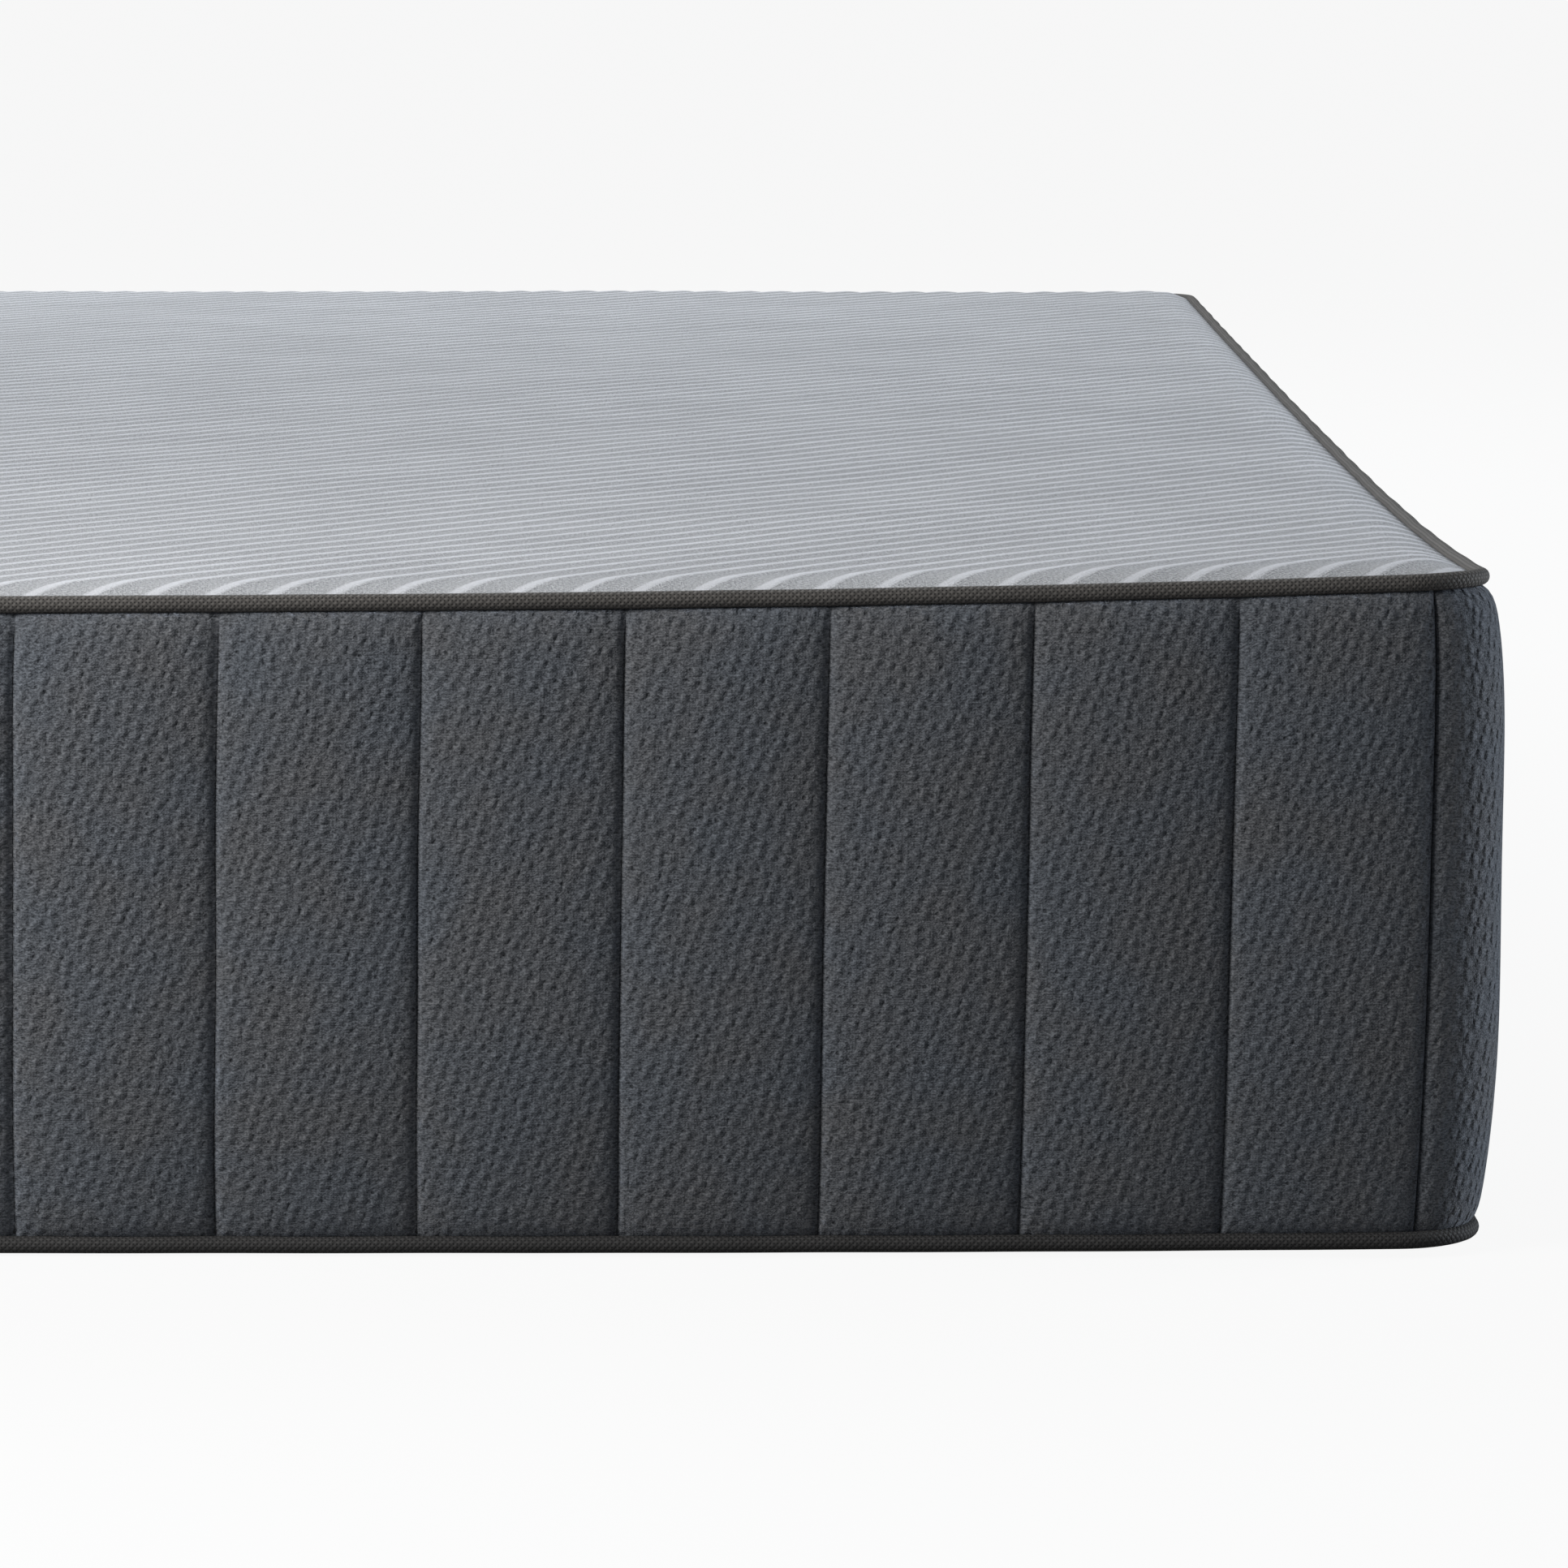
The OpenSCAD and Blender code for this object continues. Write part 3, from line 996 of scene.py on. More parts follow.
@dataclass(frozen=True)
class Slab:
    """Flat piece with rounded corners and soft edges that fills a CAD node's box."""

    node: str
    slot: str
    corner: float = 24 * MM
    edge: float = 2 * MM

    def shape(self) -> bmesh.types.BMesh:
        """Makes the closed slab.

        Returns:
            The mesh.
        """
        low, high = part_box(self.node)
        middle = (low + high) / 2
        size = high - low
        shape = bmesh.new()
        matrix = Matrix.Translation(middle) @ Matrix.Diagonal((*size, 1.0))
        bmesh.ops.create_cube(shape, size=1.0, matrix=matrix)
        if self.corner > 0:
            upright = [edge for edge in shape.edges if self.rise(edge) > size.z / 2]
            self.bevel(shape, upright, self.corner, 8)
        self.bevel(shape, self.rim(shape), min(self.edge, 0.45 * min(size)), 3)
        return shape

    def rise(self, edge: bmesh.types.BMEdge) -> float:
        """Height that an edge spans."""
        return abs(edge.verts[0].co.z - edge.verts[1].co.z)

    def rim(self, shape: bmesh.types.BMesh) -> list[bmesh.types.BMEdge]:
        """Finds the edges between the flat faces and the sides.

        Args:
            shape: the mesh to work on.

        Returns:
            The edges.
        """
        if self.corner <= 0:
            return list(shape.edges)
        return [edge for edge in shape.edges if edge.calc_face_angle(0.0) > math.radians(60)]

    def bevel(self, shape: bmesh.types.BMesh, edges: list, offset: float, segments: int) -> None:
        """Rounds some edges.

        Args:
            shape: the mesh to work on.
            edges: the edges to round.
            offset: width of the rounding.
            segments: faces across the rounding.
        """
        bmesh.ops.bevel(
            shape, geom=edges, affect="EDGES", offset=offset, segments=segments, profile=0.5, material=-1
        )

    def build(self, material: bpy.types.Material) -> bpy.types.Object:
        """Builds the slab as a piece.

        Args:
            material: finish of the piece.

        Returns:
            The piece.
        """
        shape = self.shape()
        bmesh.ops.recalc_face_normals(shape, faces=shape.faces)
        shape.normal_update()
        map_by_facing(shape)
        return finish_piece(f"{self.node}_soft", shape, material, self.slot, [self.node])


# ---------------------------------------------------------------------------
# Border
# ---------------------------------------------------------------------------


class Strip(Enum):
    """The four strips of the border, with the first and last seam of each."""

    RIGHT = (0, 26)
    HEAD = (26, 46)
    LEFT = (46, 72)
    FOOT = (72, 91)


@dataclass(frozen=True)
class QuiltedBorder:
    """Padded border: channels stitched upright, pulled in at both pipings."""

    seam_depth: float = 5.6 * MM
    crown_share: float = 0.52
    crown_power: float = 2.2
    roll: float = 1.1 * MM
    top_tuck: float = 5.4 * MM
    top_tuck_from: float = 180 * MM
    bottom_tuck: float = 8.0 * MM
    bottom_tuck_from: float = 128 * MM
    edge_roll: float = 3.2 * MM
    placket_inset: float = 5.0 * MM
    fabric: float = 1.2 * MM
    opening: float = 14 * MM
    cells: int = 18
    levels: int = 40

    @cached_property
    def low(self) -> float:
        """Height of the lower edge."""
        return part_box("border_fabric")[0].z - 2.6 * MM

    @cached_property
    def high(self) -> float:
        """Height of the upper edge."""
        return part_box("border_fabric")[1].z + 0.4 * MM

    def base_inset(self, z: float) -> float:
        """How far the crowns of the channels lie in from the full plan at a height.

        Args:
            z: height.

        Returns:
            The inset in metres.
        """
        top, bottom = self.top_tuck_from, self.bottom_tuck_from
        over = clamp((z - top) / (self.high - top)) ** 2.6 * self.top_tuck
        under = clamp((bottom - z) / (bottom - self.low)) ** 3.0 * self.bottom_tuck
        return over + under

    def relief(self, fraction: float) -> float:
        """Height of the pillow over the seam, from 0 at a seam to 1 at the crown.

        Args:
            fraction: place across the channel, from 0 to 1.

        Returns:
            The height as a share of the seam depth.
        """
        u = abs(2 * fraction - 1)
        from_seam = (1 - u) * SIZES.channel_step / 2
        crown = 1 - u**self.crown_power
        shoulder = 1 - math.exp(-from_seam / self.roll)
        return self.crown_share * crown + (1 - self.crown_share) * shoulder

    def end_fill(self, z: float) -> float:
        """How full the pillow is at a height: it is flattened where it is sewn in."""
        from_edge = min(z - self.low, self.high - z)
        return 1 - 0.8 * math.exp(-from_edge / self.edge_roll)

    def placket(self, at: Vector) -> float:
        """Share by which the border is pressed flat round the zip.

        Args:
            at: a place on the border.

        Returns:
            A share from 0 to 1.
        """
        if at.y < PLAN.core_y:
            return 0.0
        low, high = ZIP_LOW.z - 2 * MM, ZIP_HIGH.z + 1 * MM
        up = smooth(low - 5 * MM, low, at.z) * (1 - smooth(high, high + 5 * MM, at.z))
        reach = ZIP_HIGH.x
        return up * (1 - smooth(reach + 18 * MM, reach + 34 * MM, abs(at.x)))

    def point(
        self, t: float, z: float, depth: float = 0.0, pillow: float = 1.0, limit: float = 1.0
    ) -> Vector:
        """A point of the border.

        Args:
            t: distance along the walk.
            z: height.
            depth: distance in behind the face.
            pillow: share of the channels' relief that this layer follows.
            limit: the furthest in that it may lie.

        Returns:
            The point in the frame of the part.
        """
        channel = (t - SIZES.seam_phase) / SIZES.channel_step
        index = math.floor(channel + 1e-9)
        fraction = clamp(channel - index)
        plump = 1 + 0.10 * wobble(index * 1.7, z, 0.11, 3.1)
        rise = self.relief(fraction) * self.end_fill(z) * plump
        near_seam = math.exp(-min(fraction, 1 - fraction) * 9)
        pucker = 0.22 * MM * near_seam * wobble(t, z, 9 * MM, 7.7)
        swell = 0.35 * MM * wobble(t, z, 55 * MM, 1.3)
        quilt = self.seam_depth * (1 - rise) - pucker - swell
        inset = self.base_inset(z) + quilt * pillow
        pressed = self.placket(PLAN.point(t, 0.0, z))
        inset += (self.placket_inset - inset) * pressed * pillow + depth
        inset = min(inset, limit)
        ease = 4 * fraction * (1 - fraction)
        lean = SIZES.seam_lean * (z / SIZES.height - 0.5) * (1 - pressed)
        drift = 0.7 * MM * wobble(index * 3.3, z, 80 * MM, 5.9) * (1 - ease) * (1 - pressed)
        at = PLAN.point(t + lean + drift, inset, z)
        climb = smooth(0.0, 1.0, (z - self.low) / (self.high - self.low))
        at.z += SIZES.lift(at.x, at.y) * climb + SIZES.low_lift(at.x, at.y) * (1 - climb)
        return at

    def columns(self, strip: Strip) -> list[float]:
        """Places of the columns of points along one strip, closer near the seams.

        Args:
            strip: which strip.

        Returns:
            Distances along the walk.
        """
        first, last = strip.value
        found = []
        for index in range(first, last):
            for cell in range(self.cells):
                even = cell / self.cells
                packed = 0.5 - 0.5 * math.cos(math.pi * even)
                fraction = 0.15 * even + 0.85 * packed
                found.append(SIZES.seam(index) + fraction * SIZES.channel_step)
        found.append(SIZES.seam(last))
        return found

    def rows(self) -> list[float]:
        """Heights of the rows of points, closer near both edges.

        Returns:
            The heights.
        """
        low, high = self.low, self.high
        found = []
        for level in range(self.levels + 1):
            even = level / self.levels
            packed = 0.5 - 0.5 * math.cos(math.pi * even)
            found.append(low + (high - low) * (0.3 * even + 0.7 * packed))
        return found

    def head_rows(self) -> list[float]:
        """Heights for the head end, with rows at the edges of the zip's opening.

        Returns:
            The heights.
        """
        middle = (ZIP_LOW.z + ZIP_HIGH.z) / 2
        low, high = middle - self.opening / 2, middle + self.opening / 2
        extra = [low - 3 * MM, low, high, high + 3 * MM]
        kept = [row for row in self.rows() if min(abs(row - mark) for mark in extra) > 1.4 * MM]
        return sorted([row for row in kept if not low < row < high] + extra)

    def open_zip(self, shape: bmesh.types.BMesh) -> None:
        """Cuts the opening that shows the zip.

        Args:
            shape: the mesh to work on.
        """
        middle = (ZIP_LOW.z + ZIP_HIGH.z) / 2
        reach = ZIP_HIGH.x + 1 * MM
        gone = []
        for face in shape.faces:
            centre = face.calc_center_median()
            if abs(centre.z - middle) < self.opening / 2 and abs(centre.x) < reach:
                gone.append(face)
        bmesh.ops.delete(shape, geom=gone, context="FACES")

    def layer(
        self,
        name: str,
        node: str,
        near: tuple[float, float, float],
        far: tuple[float, float, float],
        material: bpy.types.Material,
        slot: str,
        cells: int,
    ) -> bpy.types.Object:
        """Builds one closed layer behind the face fabric.

        Args:
            name: the piece's name.
            node: the CAD node that it stands for.
            near: depth, share of relief and furthest inset of its outer side.
            far: the same for its inner side.
            material: its finish.
            slot: its material slot.
            cells: columns in each channel.

        Returns:
            The piece.
        """
        low, high = self.low + 3.2 * MM, self.high - 1.6 * MM
        levels = [low + (high - low) * step / self.levels for step in range(self.levels + 1)]
        sides = [(z, near) for z in levels] + [(z, far) for z in reversed(levels)]
        sides.append(sides[0])
        step = SIZES.channel_step / cells
        columns = [SIZES.seam_phase + step * index for index in range(SIZES.channels * cells + 1)]

        def place(t: float, row: float) -> Vector:
            """The point of the layer at a place along the walk.

            Args:
                t: distance along the walk.
                row: number of the row.

            Returns:
                The point.
            """
            z, (depth, pillow, limit) = sides[int(row)]
            behind_zip = self.placket(PLAN.point(t, 0.0, z)) * pillow
            return self.point(t, z, depth + 5.4 * MM * behind_zip, pillow, limit)

        rows = [float(row) for row in range(len(sides))]
        shape = mapped_grid(columns, rows, place, lambda t, row: (t, 0.02 * row))
        close_seams(shape, 1e-5)
        return finish_piece(name, shape, material, slot, [node])

    def strip_piece(self, strip: Strip, material: bpy.types.Material) -> bpy.types.Object:
        """Builds one strip of the face fabric, as a closed skin.

        Args:
            strip: which strip.
            material: finish of the piece.

        Returns:
            The piece.
        """
        rows = self.head_rows() if strip is Strip.HEAD else self.rows()
        shape = mapped_grid(self.columns(strip), rows, self.point)
        if strip is Strip.HEAD:
            self.open_zip(shape)
        middle = PLAN.point(SIZES.seam(sum(strip.value) // 2), 0.0, 0.12)
        shape.normal_update()
        out = sum((face.normal for face in shape.faces), Vector())
        if out.dot(middle) < 0:
            bmesh.ops.reverse_faces(shape, faces=shape.faces)
        nodes = ["border_fabric"]
        piece = finish_piece(f"border_fabric_{strip.name.lower()}", shape, material, "border_knit", nodes)
        skin = piece.modifiers.new("skin", "SOLIDIFY")
        skin.thickness = self.fabric
        skin.offset = -1.0
        return piece

    def stitches(self, strip: Strip, material: bpy.types.Material) -> bpy.types.Object:
        """Builds the thread of one strip's seams, which shows as a row of upright stitches.

        Args:
            strip: which strip.
            material: finish of the piece.

        Returns:
            The piece.
        """
        spacing, radius = 5.0 * MM, 0.26 * MM
        marks = (0.06, 0.26, 0.74, 0.94)
        count = int((self.high - self.low - 14 * MM) / spacing)
        rings = []
        for index in range(*strip.value):
            for step in range(4 * count):
                phase = step % 4
                z = self.low + 7 * MM + spacing * (step // 4 + marks[phase])
                shown = phase in (1, 2)
                at = self.point(SIZES.seam(index), z, -0.1 * MM if shown else 0.5 * MM)
                hidden = self.placket(at) > 0.01
                rings.append((at, radius if shown else 0.6 * radius, index, hidden))
        sides = [math.tau * side / 6 for side in range(7)]

        def place(angle: float, row: float) -> Vector:
            """The point of the thread."""
            at, reach, _, _ = rings[int(row)]
            return at + Vector((math.cos(angle), math.sin(angle), 0.0)) * reach

        shape = mapped_grid(sides, [float(row) for row in range(len(rings))], place)
        columns = len(sides)
        shape.verts.ensure_lookup_table()
        gone = []
        for face in shape.faces:
            found = [rings[vertex.index // columns] for vertex in face.verts]
            between_seams = len({ring[2] for ring in found}) > 1
            if between_seams or any(ring[3] for ring in found):
                gone.append(face)
        bmesh.ops.delete(shape, geom=gone, context="FACES")
        close_seams(shape)
        name = f"channel_stitches_{strip.name.lower()}"
        return finish_piece(name, shape, material, "border_thread", ["channel_stitching"])

    def build(self, fabric: bpy.types.Material, thread: bpy.types.Material) -> None:
        """Builds the fabric and the stitches of all four strips.

        Args:
            fabric: finish of the face fabric.
            thread: finish of the stitches.
        """
        for strip in Strip:
            self.strip_piece(strip, fabric)
            self.stitches(strip, thread)


# ---------------------------------------------------------------------------
# Pipings
# ---------------------------------------------------------------------------


@dataclass(frozen=True)
class Piping:
    """Corded piping round the plan: a woven sleeve with a flange, sewn in."""

    name: str
    level: float
    lifted: float
    radius: float = SIZES.piping_radius
    flange: float = 8 * MM
    around: int = 18

    def section(self) -> list[tuple[float, float, float]]:
        """Outwards and upwards offsets from the middle, with the girth so far.

        Returns:
            The offsets and the girth, point by point.
        """
        radius = self.radius
        tip = -radius - self.flange
        thick = 0.3 * MM
        open_angle = math.asin(thick / radius)
        found = [(tip, -thick)]
        for step in range(self.around + 1):
            angle = -math.pi + open_angle + (math.tau - 2 * open_angle) * step / self.around
            found.append((radius * math.cos(angle), radius * math.sin(angle)))
        found.append((tip, thick))
        found.append(found[0])
        girth, last, rows = 0.0, found[0], []
        for place in found:
            girth += math.dist(last, place)
            rows.append((place[0], place[1], girth))
            last = place
        return rows

    def columns(self) -> list[float]:
        """Places along the walk: close together round the corners.

        Returns:
            Distances along the walk.
        """
        found, start = [], 0.0
        for index, (run, _, _) in enumerate(PLAN.legs):
            cells = 22 if index % 2 == 0 else max(1, round(run / (12 * MM)))
            found += [start + run * cell / cells for cell in range(cells)]
            start += run
        return found + [start]

    def build(self, material: bpy.types.Material, slot: str, nodes: list[str]) -> bpy.types.Object:
        """Builds the sleeve.

        Args:
            material: finish of the piece.
            slot: material slot of the piece.
            nodes: CAD nodes that it stands for.

        Returns:
            The piece.
        """
        rows = self.section()

        def place(t: float, row: float) -> Vector:
            """The point of the sleeve at a place along the walk.

            Args:
                t: distance along the walk.
                row: number of the row.

            Returns:
                The point.
            """
            out, up, _ = rows[int(row)]
            seam = 0.5 + 0.5 * math.cos(math.tau * (t - SIZES.seam_phase) / SIZES.channel_step)
            pull = 0.35 * MM * seam + 0.3 * MM * wobble(t, 0.0, 60 * MM, 2.2)
            at = PLAN.point(t, SIZES.piping_inset - out + pull, self.level + up)
            lift = SIZES.lift(at.x, at.y) if self.lifted else SIZES.low_lift(at.x, at.y)
            at.z += lift - 0.3 * pull * self.lifted
            return at

        def cloth(t: float, row: float) -> tuple[float, float]:
            """The place in the woven tape's own map."""
            return t, rows[int(row)][2]

        shape = mapped_grid(self.columns(), [float(row) for row in range(len(rows))], place, cloth)
        close_seams(shape)
        return finish_piece(self.name, shape, material, slot, nodes)


# ---------------------------------------------------------------------------
# Zip and label at the head end
# ---------------------------------------------------------------------------


@dataclass(frozen=True)
class ZipCoil:
    """One row of the zip: a monofilament wound along its tape's edge."""

    node: str
    phase: float
    pitch: float = 2.5 * MM
    wire: float = 0.5 * MM
    per_turn: int = 8

    def build(self, material: bpy.types.Material) -> bpy.types.Object:
        """Builds the row.

        Args:
            material: finish of the piece.

        Returns:
            The piece.
        """
        low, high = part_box(self.node)
        middle = (low + high) / 2
        tall = (high.z - low.z) / 2 - self.wire
        deep = (high.y - low.y) / 2 - self.wire
        turns = int((high.x - low.x) / self.pitch)
        rows = [float(row) for row in range(turns * self.per_turn + 1)]
        sides = [math.tau * side / 5 for side in range(6)]

        def place(angle: float, row: float) -> Vector:
            """The point of the filament's skin.

            Args:
                angle: angle round the strand.
                row: number of the row.

            Returns:
                The point.
            """
            turn = math.tau * (row / self.per_turn + self.phase)
            out = Vector((0.0, math.cos(turn), math.sin(turn)))
            at = Vector((low.x + self.wire, middle.y + deep * out.y, middle.z + tall * out.z))
            at.x += (high.x - low.x - 2 * self.wire) * row / len(rows)
            return at + self.wire * (out * math.cos(angle) + Vector((math.sin(angle), 0.0, 0.0)))

        shape = mapped_grid(sides, rows, place)
        close_seams(shape)
        return finish_piece(f"{self.node}_coil", shape, material, "zip_coil", [self.node])


@dataclass(frozen=True)
class CareLabel:
    """Blank label, sewn along its upper edge and hanging against a channel."""

    border: QuiltedBorder
    thickness: float = 0.3 * MM

    def build(self, material: bpy.types.Material) -> bpy.types.Object:
        """Builds the label.

        Args:
            material: finish of the piece.

        Returns:
            The piece.
        """
        low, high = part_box("care_label")
        middle = (low.x + high.x) / 2
        wide, tall = high.x - low.x, high.z - low.z
        start = 2 * PLAN.arc + 2 * PLAN.core_y + PLAN.core_x

        def place(across: float, up: float) -> Vector:
            """The point of the label.

            Args:
                across: distance from the middle of the label.
                up: height over the middle of the label.

            Returns:
                The point.
            """
            t = start - middle - across
            free = clamp((0.5 * tall - up) / tall)
            curl = 2.2 * MM * free**3 * (0.6 + 0.8 * across / wide)
            return self.border.point(t, (low.z + high.z) / 2 + up, -0.45 * MM - curl, 1.0)

        columns = [wide * (step / 14 - 0.5) for step in range(15)]
        rows = [tall * (step / 18 - 0.5) for step in range(19)]
        shape = mapped_grid(columns, rows, place)
        bmesh.ops.recalc_face_normals(shape, faces=shape.faces)
        shape.normal_update()
        if sum(face.normal.y for face in shape.faces) < 0:
            bmesh.ops.reverse_faces(shape, faces=shape.faces)
        piece = finish_piece("care_label_cloth", shape, material, "label_cloth", ["care_label"])
        skin = piece.modifiers.new("skin", "SOLIDIFY")
        skin.thickness = self.thickness
        skin.offset = -1.0
        return piece


# ---------------------------------------------------------------------------
# Top panel
# ---------------------------------------------------------------------------


@dataclass(frozen=True)
class RibbedTop:
    """Top panel: pale knit with low slanting ribs, rolled down to the piping."""

    pitch: float = SIZES.rib_pitch
    slant: float = math.radians(39.5)
    rib_height: float = 1.5 * MM
    per_rib: int = 8
    along_step: float = 26 * MM
    edge_drop: float = 5.4 * MM
    edge_reach: float = 26 * MM
    edge_lines: tuple[float, ...] = (0.08, 0.2, 0.36, 0.56, 0.8)

    @cached_property
    def inset(self) -> float:
        """Distance from the full plan to the panel's edge."""
        return CAD_HIGH.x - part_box("top_panel")[1].x

    def from_edge(self, x: float, y: float) -> float:
        """Distance in from the rounded edge of the panel.

        Args:
            x: place across the mattress.
            y: place along the mattress.

        Returns:
            The distance in metres, below 0 outside.
        """
        dx = abs(x) - PLAN.core_x
        dy = abs(y) - PLAN.core_y
        edge = PLAN.radius - self.inset
        if dx > 0 and dy > 0:
            return edge - math.hypot(dx, dy)
        return edge - max(dx, dy)

    def across(self, x: float, y: float) -> float:
        """Distance across the ribs."""
        return x * math.cos(self.slant) - y * math.sin(self.slant)

    def along(self, x: float, y: float) -> float:
        """Distance along the ribs."""
        return x * math.sin(self.slant) + y * math.cos(self.slant)

    def level(self, x: float, y: float) -> float:
        """Height of the knit's face.

        Args:
            x: place across the mattress.
            y: place along the mattress.

        Returns:
            The height in metres.
        """
        inside = max(0.0, self.from_edge(x, y))
        roll = clamp(1 - inside / self.edge_reach)
        drop = self.edge_drop * roll**2.2
        fade = smooth(-4 * MM, 16 * MM, inside)
        rib = 0.5 + 0.5 * math.cos(math.tau * self.across(x, y) / self.pitch)
        soft = 0.7 + 0.3 * wobble(x, y, 130 * MM, 4.4)
        swell = 0.9 * MM * wobble(x, y, 210 * MM, 8.8) + 0.35 * MM * wobble(x, y, 60 * MM, 2.7)
        relief = self.rib_height * (rib**2.0 - 0.4) * soft * fade
        return SIZES.height - drop + relief + swell * fade + SIZES.lift(x, y)

    def build(self, material: bpy.types.Material) -> bpy.types.Object:
        """Builds the panel from a grid that runs with its ribs.

        Args:
            material: finish of the piece.

        Returns:
            The piece.
        """
        reach = math.hypot(CAD_HIGH.x, CAD_HIGH.y) + self.pitch
        ribs = math.ceil(reach / self.pitch)
        fine = self.pitch / self.per_rib
        columns = [step * fine for step in range(-ribs * self.per_rib, ribs * self.per_rib + 1)]
        steps = math.ceil(reach / self.along_step)
        rows = [step * self.along_step for step in range(-steps, steps + 1)]
        cos, sin = math.cos(self.slant), math.sin(self.slant)
        shape = mapped_grid(
            columns, rows, lambda a, b: Vector((a * cos + b * sin, b * cos - a * sin, 0.0))
        )
        self.trim(shape)
        for vertex in shape.verts:
            vertex.co.z = self.level(vertex.co.x, vertex.co.y)
        self.close(shape)
        piece = finish_piece("top_panel_knit", shape, material, "top_knit", ["top_panel"])
        return piece

    def trim(self, shape: bmesh.types.BMesh) -> None:
        """Cuts the grid to the rounded plan, with extra lines where the edge rolls.

        Args:
            shape: the mesh to work on.
        """
        edge = PLAN.radius - self.inset
        for turn in range(4):
            out, core = self.side(turn)
            self.cut(shape, out * (core + edge), out, True)
        for centre_x in (-PLAN.core_x, PLAN.core_x):
            for centre_y in (-PLAN.core_y, PLAN.core_y):
                self.round_corner(shape, Vector((centre_x, centre_y, 0.0)), edge)
        for share in self.edge_lines:
            depth = share * self.edge_reach
            for turn in range(4):
                out, core = self.side(turn)
                self.cut(shape, out * (core + edge - depth), out, False)

    def side(self, turn: int) -> tuple[Vector, float]:
        """Gives the direction of a side of the plan, and the reach of its corner centres.

        Args:
            turn: quarter turns from +X.

        Returns:
            The direction outwards and the distance to the corner centres.
        """
        heading = turn * math.pi / 2
        out = Vector((math.cos(heading), math.sin(heading), 0.0))
        return out, PLAN.core_x if turn % 2 == 0 else PLAN.core_y

    def round_corner(self, shape: bmesh.types.BMesh, centre: Vector, edge: float) -> None:
        """Rounds one corner with a fan of cuts that touch its arc.

        Args:
            shape: the mesh to work on.
            centre: centre of the corner arc.
            edge: radius of the arc.
        """
        start = math.atan2(math.copysign(1, centre.y), math.copysign(1, centre.x)) - math.pi / 4
        facets = 10
        for facet in range(1, facets):
            heading = start + facet / facets * math.pi / 2
            out = Vector((math.cos(heading), math.sin(heading), 0.0))
            self.cut(shape, centre + out * edge, out, True)

    def cut(self, shape: bmesh.types.BMesh, at: Vector, out: Vector, clear: bool) -> None:
        """Cuts the sheet along a line, and clears what is outside it if asked.

        Args:
            shape: the mesh to work on.
            at: a point on the line.
            out: direction outwards.
            clear: whether to clear what is outside.
        """
        geometry = list(shape.verts) + list(shape.edges) + list(shape.faces)
        bmesh.ops.bisect_plane(
            shape, geom=geometry, dist=1e-6, plane_co=at, plane_no=out, clear_outer=clear
        )

    def close(self, shape: bmesh.types.BMesh) -> None:
        """Turns the rim down and closes the underside.

        Args:
            shape: the mesh to work on.
        """
        rim = [edge for edge in shape.edges if edge.is_boundary]
        grown = bmesh.ops.extrude_edge_only(shape, edges=rim)["geom"]
        fresh = [item for item in grown if isinstance(item, bmesh.types.BMVert)]
        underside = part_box("top_panel")[0].z
        for vertex in fresh:
            vertex.co.z = underside
        under = [edge for edge in shape.edges if edge.is_boundary]
        bmesh.ops.edgeloop_fill(shape, edges=under)
        bmesh.ops.recalc_face_normals(shape, faces=shape.faces)


# ---------------------------------------------------------------------------
# Bottom panel and sock
# ---------------------------------------------------------------------------


@dataclass(frozen=True)
class BottomPanel:
    """Bottom panel, flat on the floor and drawn up a little at the foot-end corners."""

    cuts: tuple[float, ...] = (0.03, 0.07, 0.13, 0.21, 0.32, 0.46, 0.62)

    def build(self, material: bpy.types.Material) -> bpy.types.Object:
        """Builds the panel.

        Args:
            material: finish of the piece.

        Returns:
            The piece.
        """
        low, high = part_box("bottom_panel")
        shape = Slab("bottom_panel", "bottom_cloth", 26 * MM, 1.2 * MM).shape()
        for cut in self.cuts:
            for side in (-1, 1):
                self.cut(shape, Vector((side * (high.x - cut), 0.0, 0.0)), Vector((1.0, 0.0, 0.0)))
            self.cut(shape, Vector((0.0, low.y + cut, 0.0)), Vector((0.0, 1.0, 0.0)))
        bmesh.ops.recalc_face_normals(shape, faces=shape.faces)
        shape.normal_update()
        map_by_facing(shape)
        for vertex in shape.verts:
            vertex.co.z += SIZES.low_lift(vertex.co.x, vertex.co.y)
        piece = finish_piece("bottom_panel_cloth", shape, material, "bottom_cloth", ["bottom_panel"])
        return piece

    def cut(self, shape: bmesh.types.BMesh, at: Vector, facing: Vector) -> None:
        """Adds one line of points across the panel."""
        geometry = list(shape.verts) + list(shape.edges) + list(shape.faces)
        bmesh.ops.bisect_plane(shape, geom=geometry, dist=1e-6, plane_co=at, plane_no=facing)


@dataclass(frozen=True)
class SockShell:
    """Thin knitted sleeve round the foams, open at the head end."""

    node: str = "fire_sock"
    thickness: float = 1.2 * MM
    rim: float = 44 * MM

    def build(self, material: bpy.types.Material) -> bpy.types.Object:
        """Builds the sleeve.

        Args:
            material: finish of the piece.

        Returns:
            The piece.
        """
        shape = Slab(self.node, "sock_knit", 25 * MM, 5 * MM).shape()
        shape.normal_update()
        mouth = max(shape.faces, key=lambda face: face.calc_area() * (face.normal.y > 0.9))
        bmesh.ops.inset_individual(shape, faces=[mouth], thickness=self.rim, use_even_offset=True)
        bmesh.ops.delete(shape, geom=[mouth], context="FACES")
        shape.normal_update()
        map_by_facing(shape)
        piece = finish_piece("fire_sock_knit", shape, material, "sock_knit", [self.node])
        skin = piece.modifiers.new("skin", "SOLIDIFY")
        skin.thickness = self.thickness
        skin.offset = -1.0
        return piece


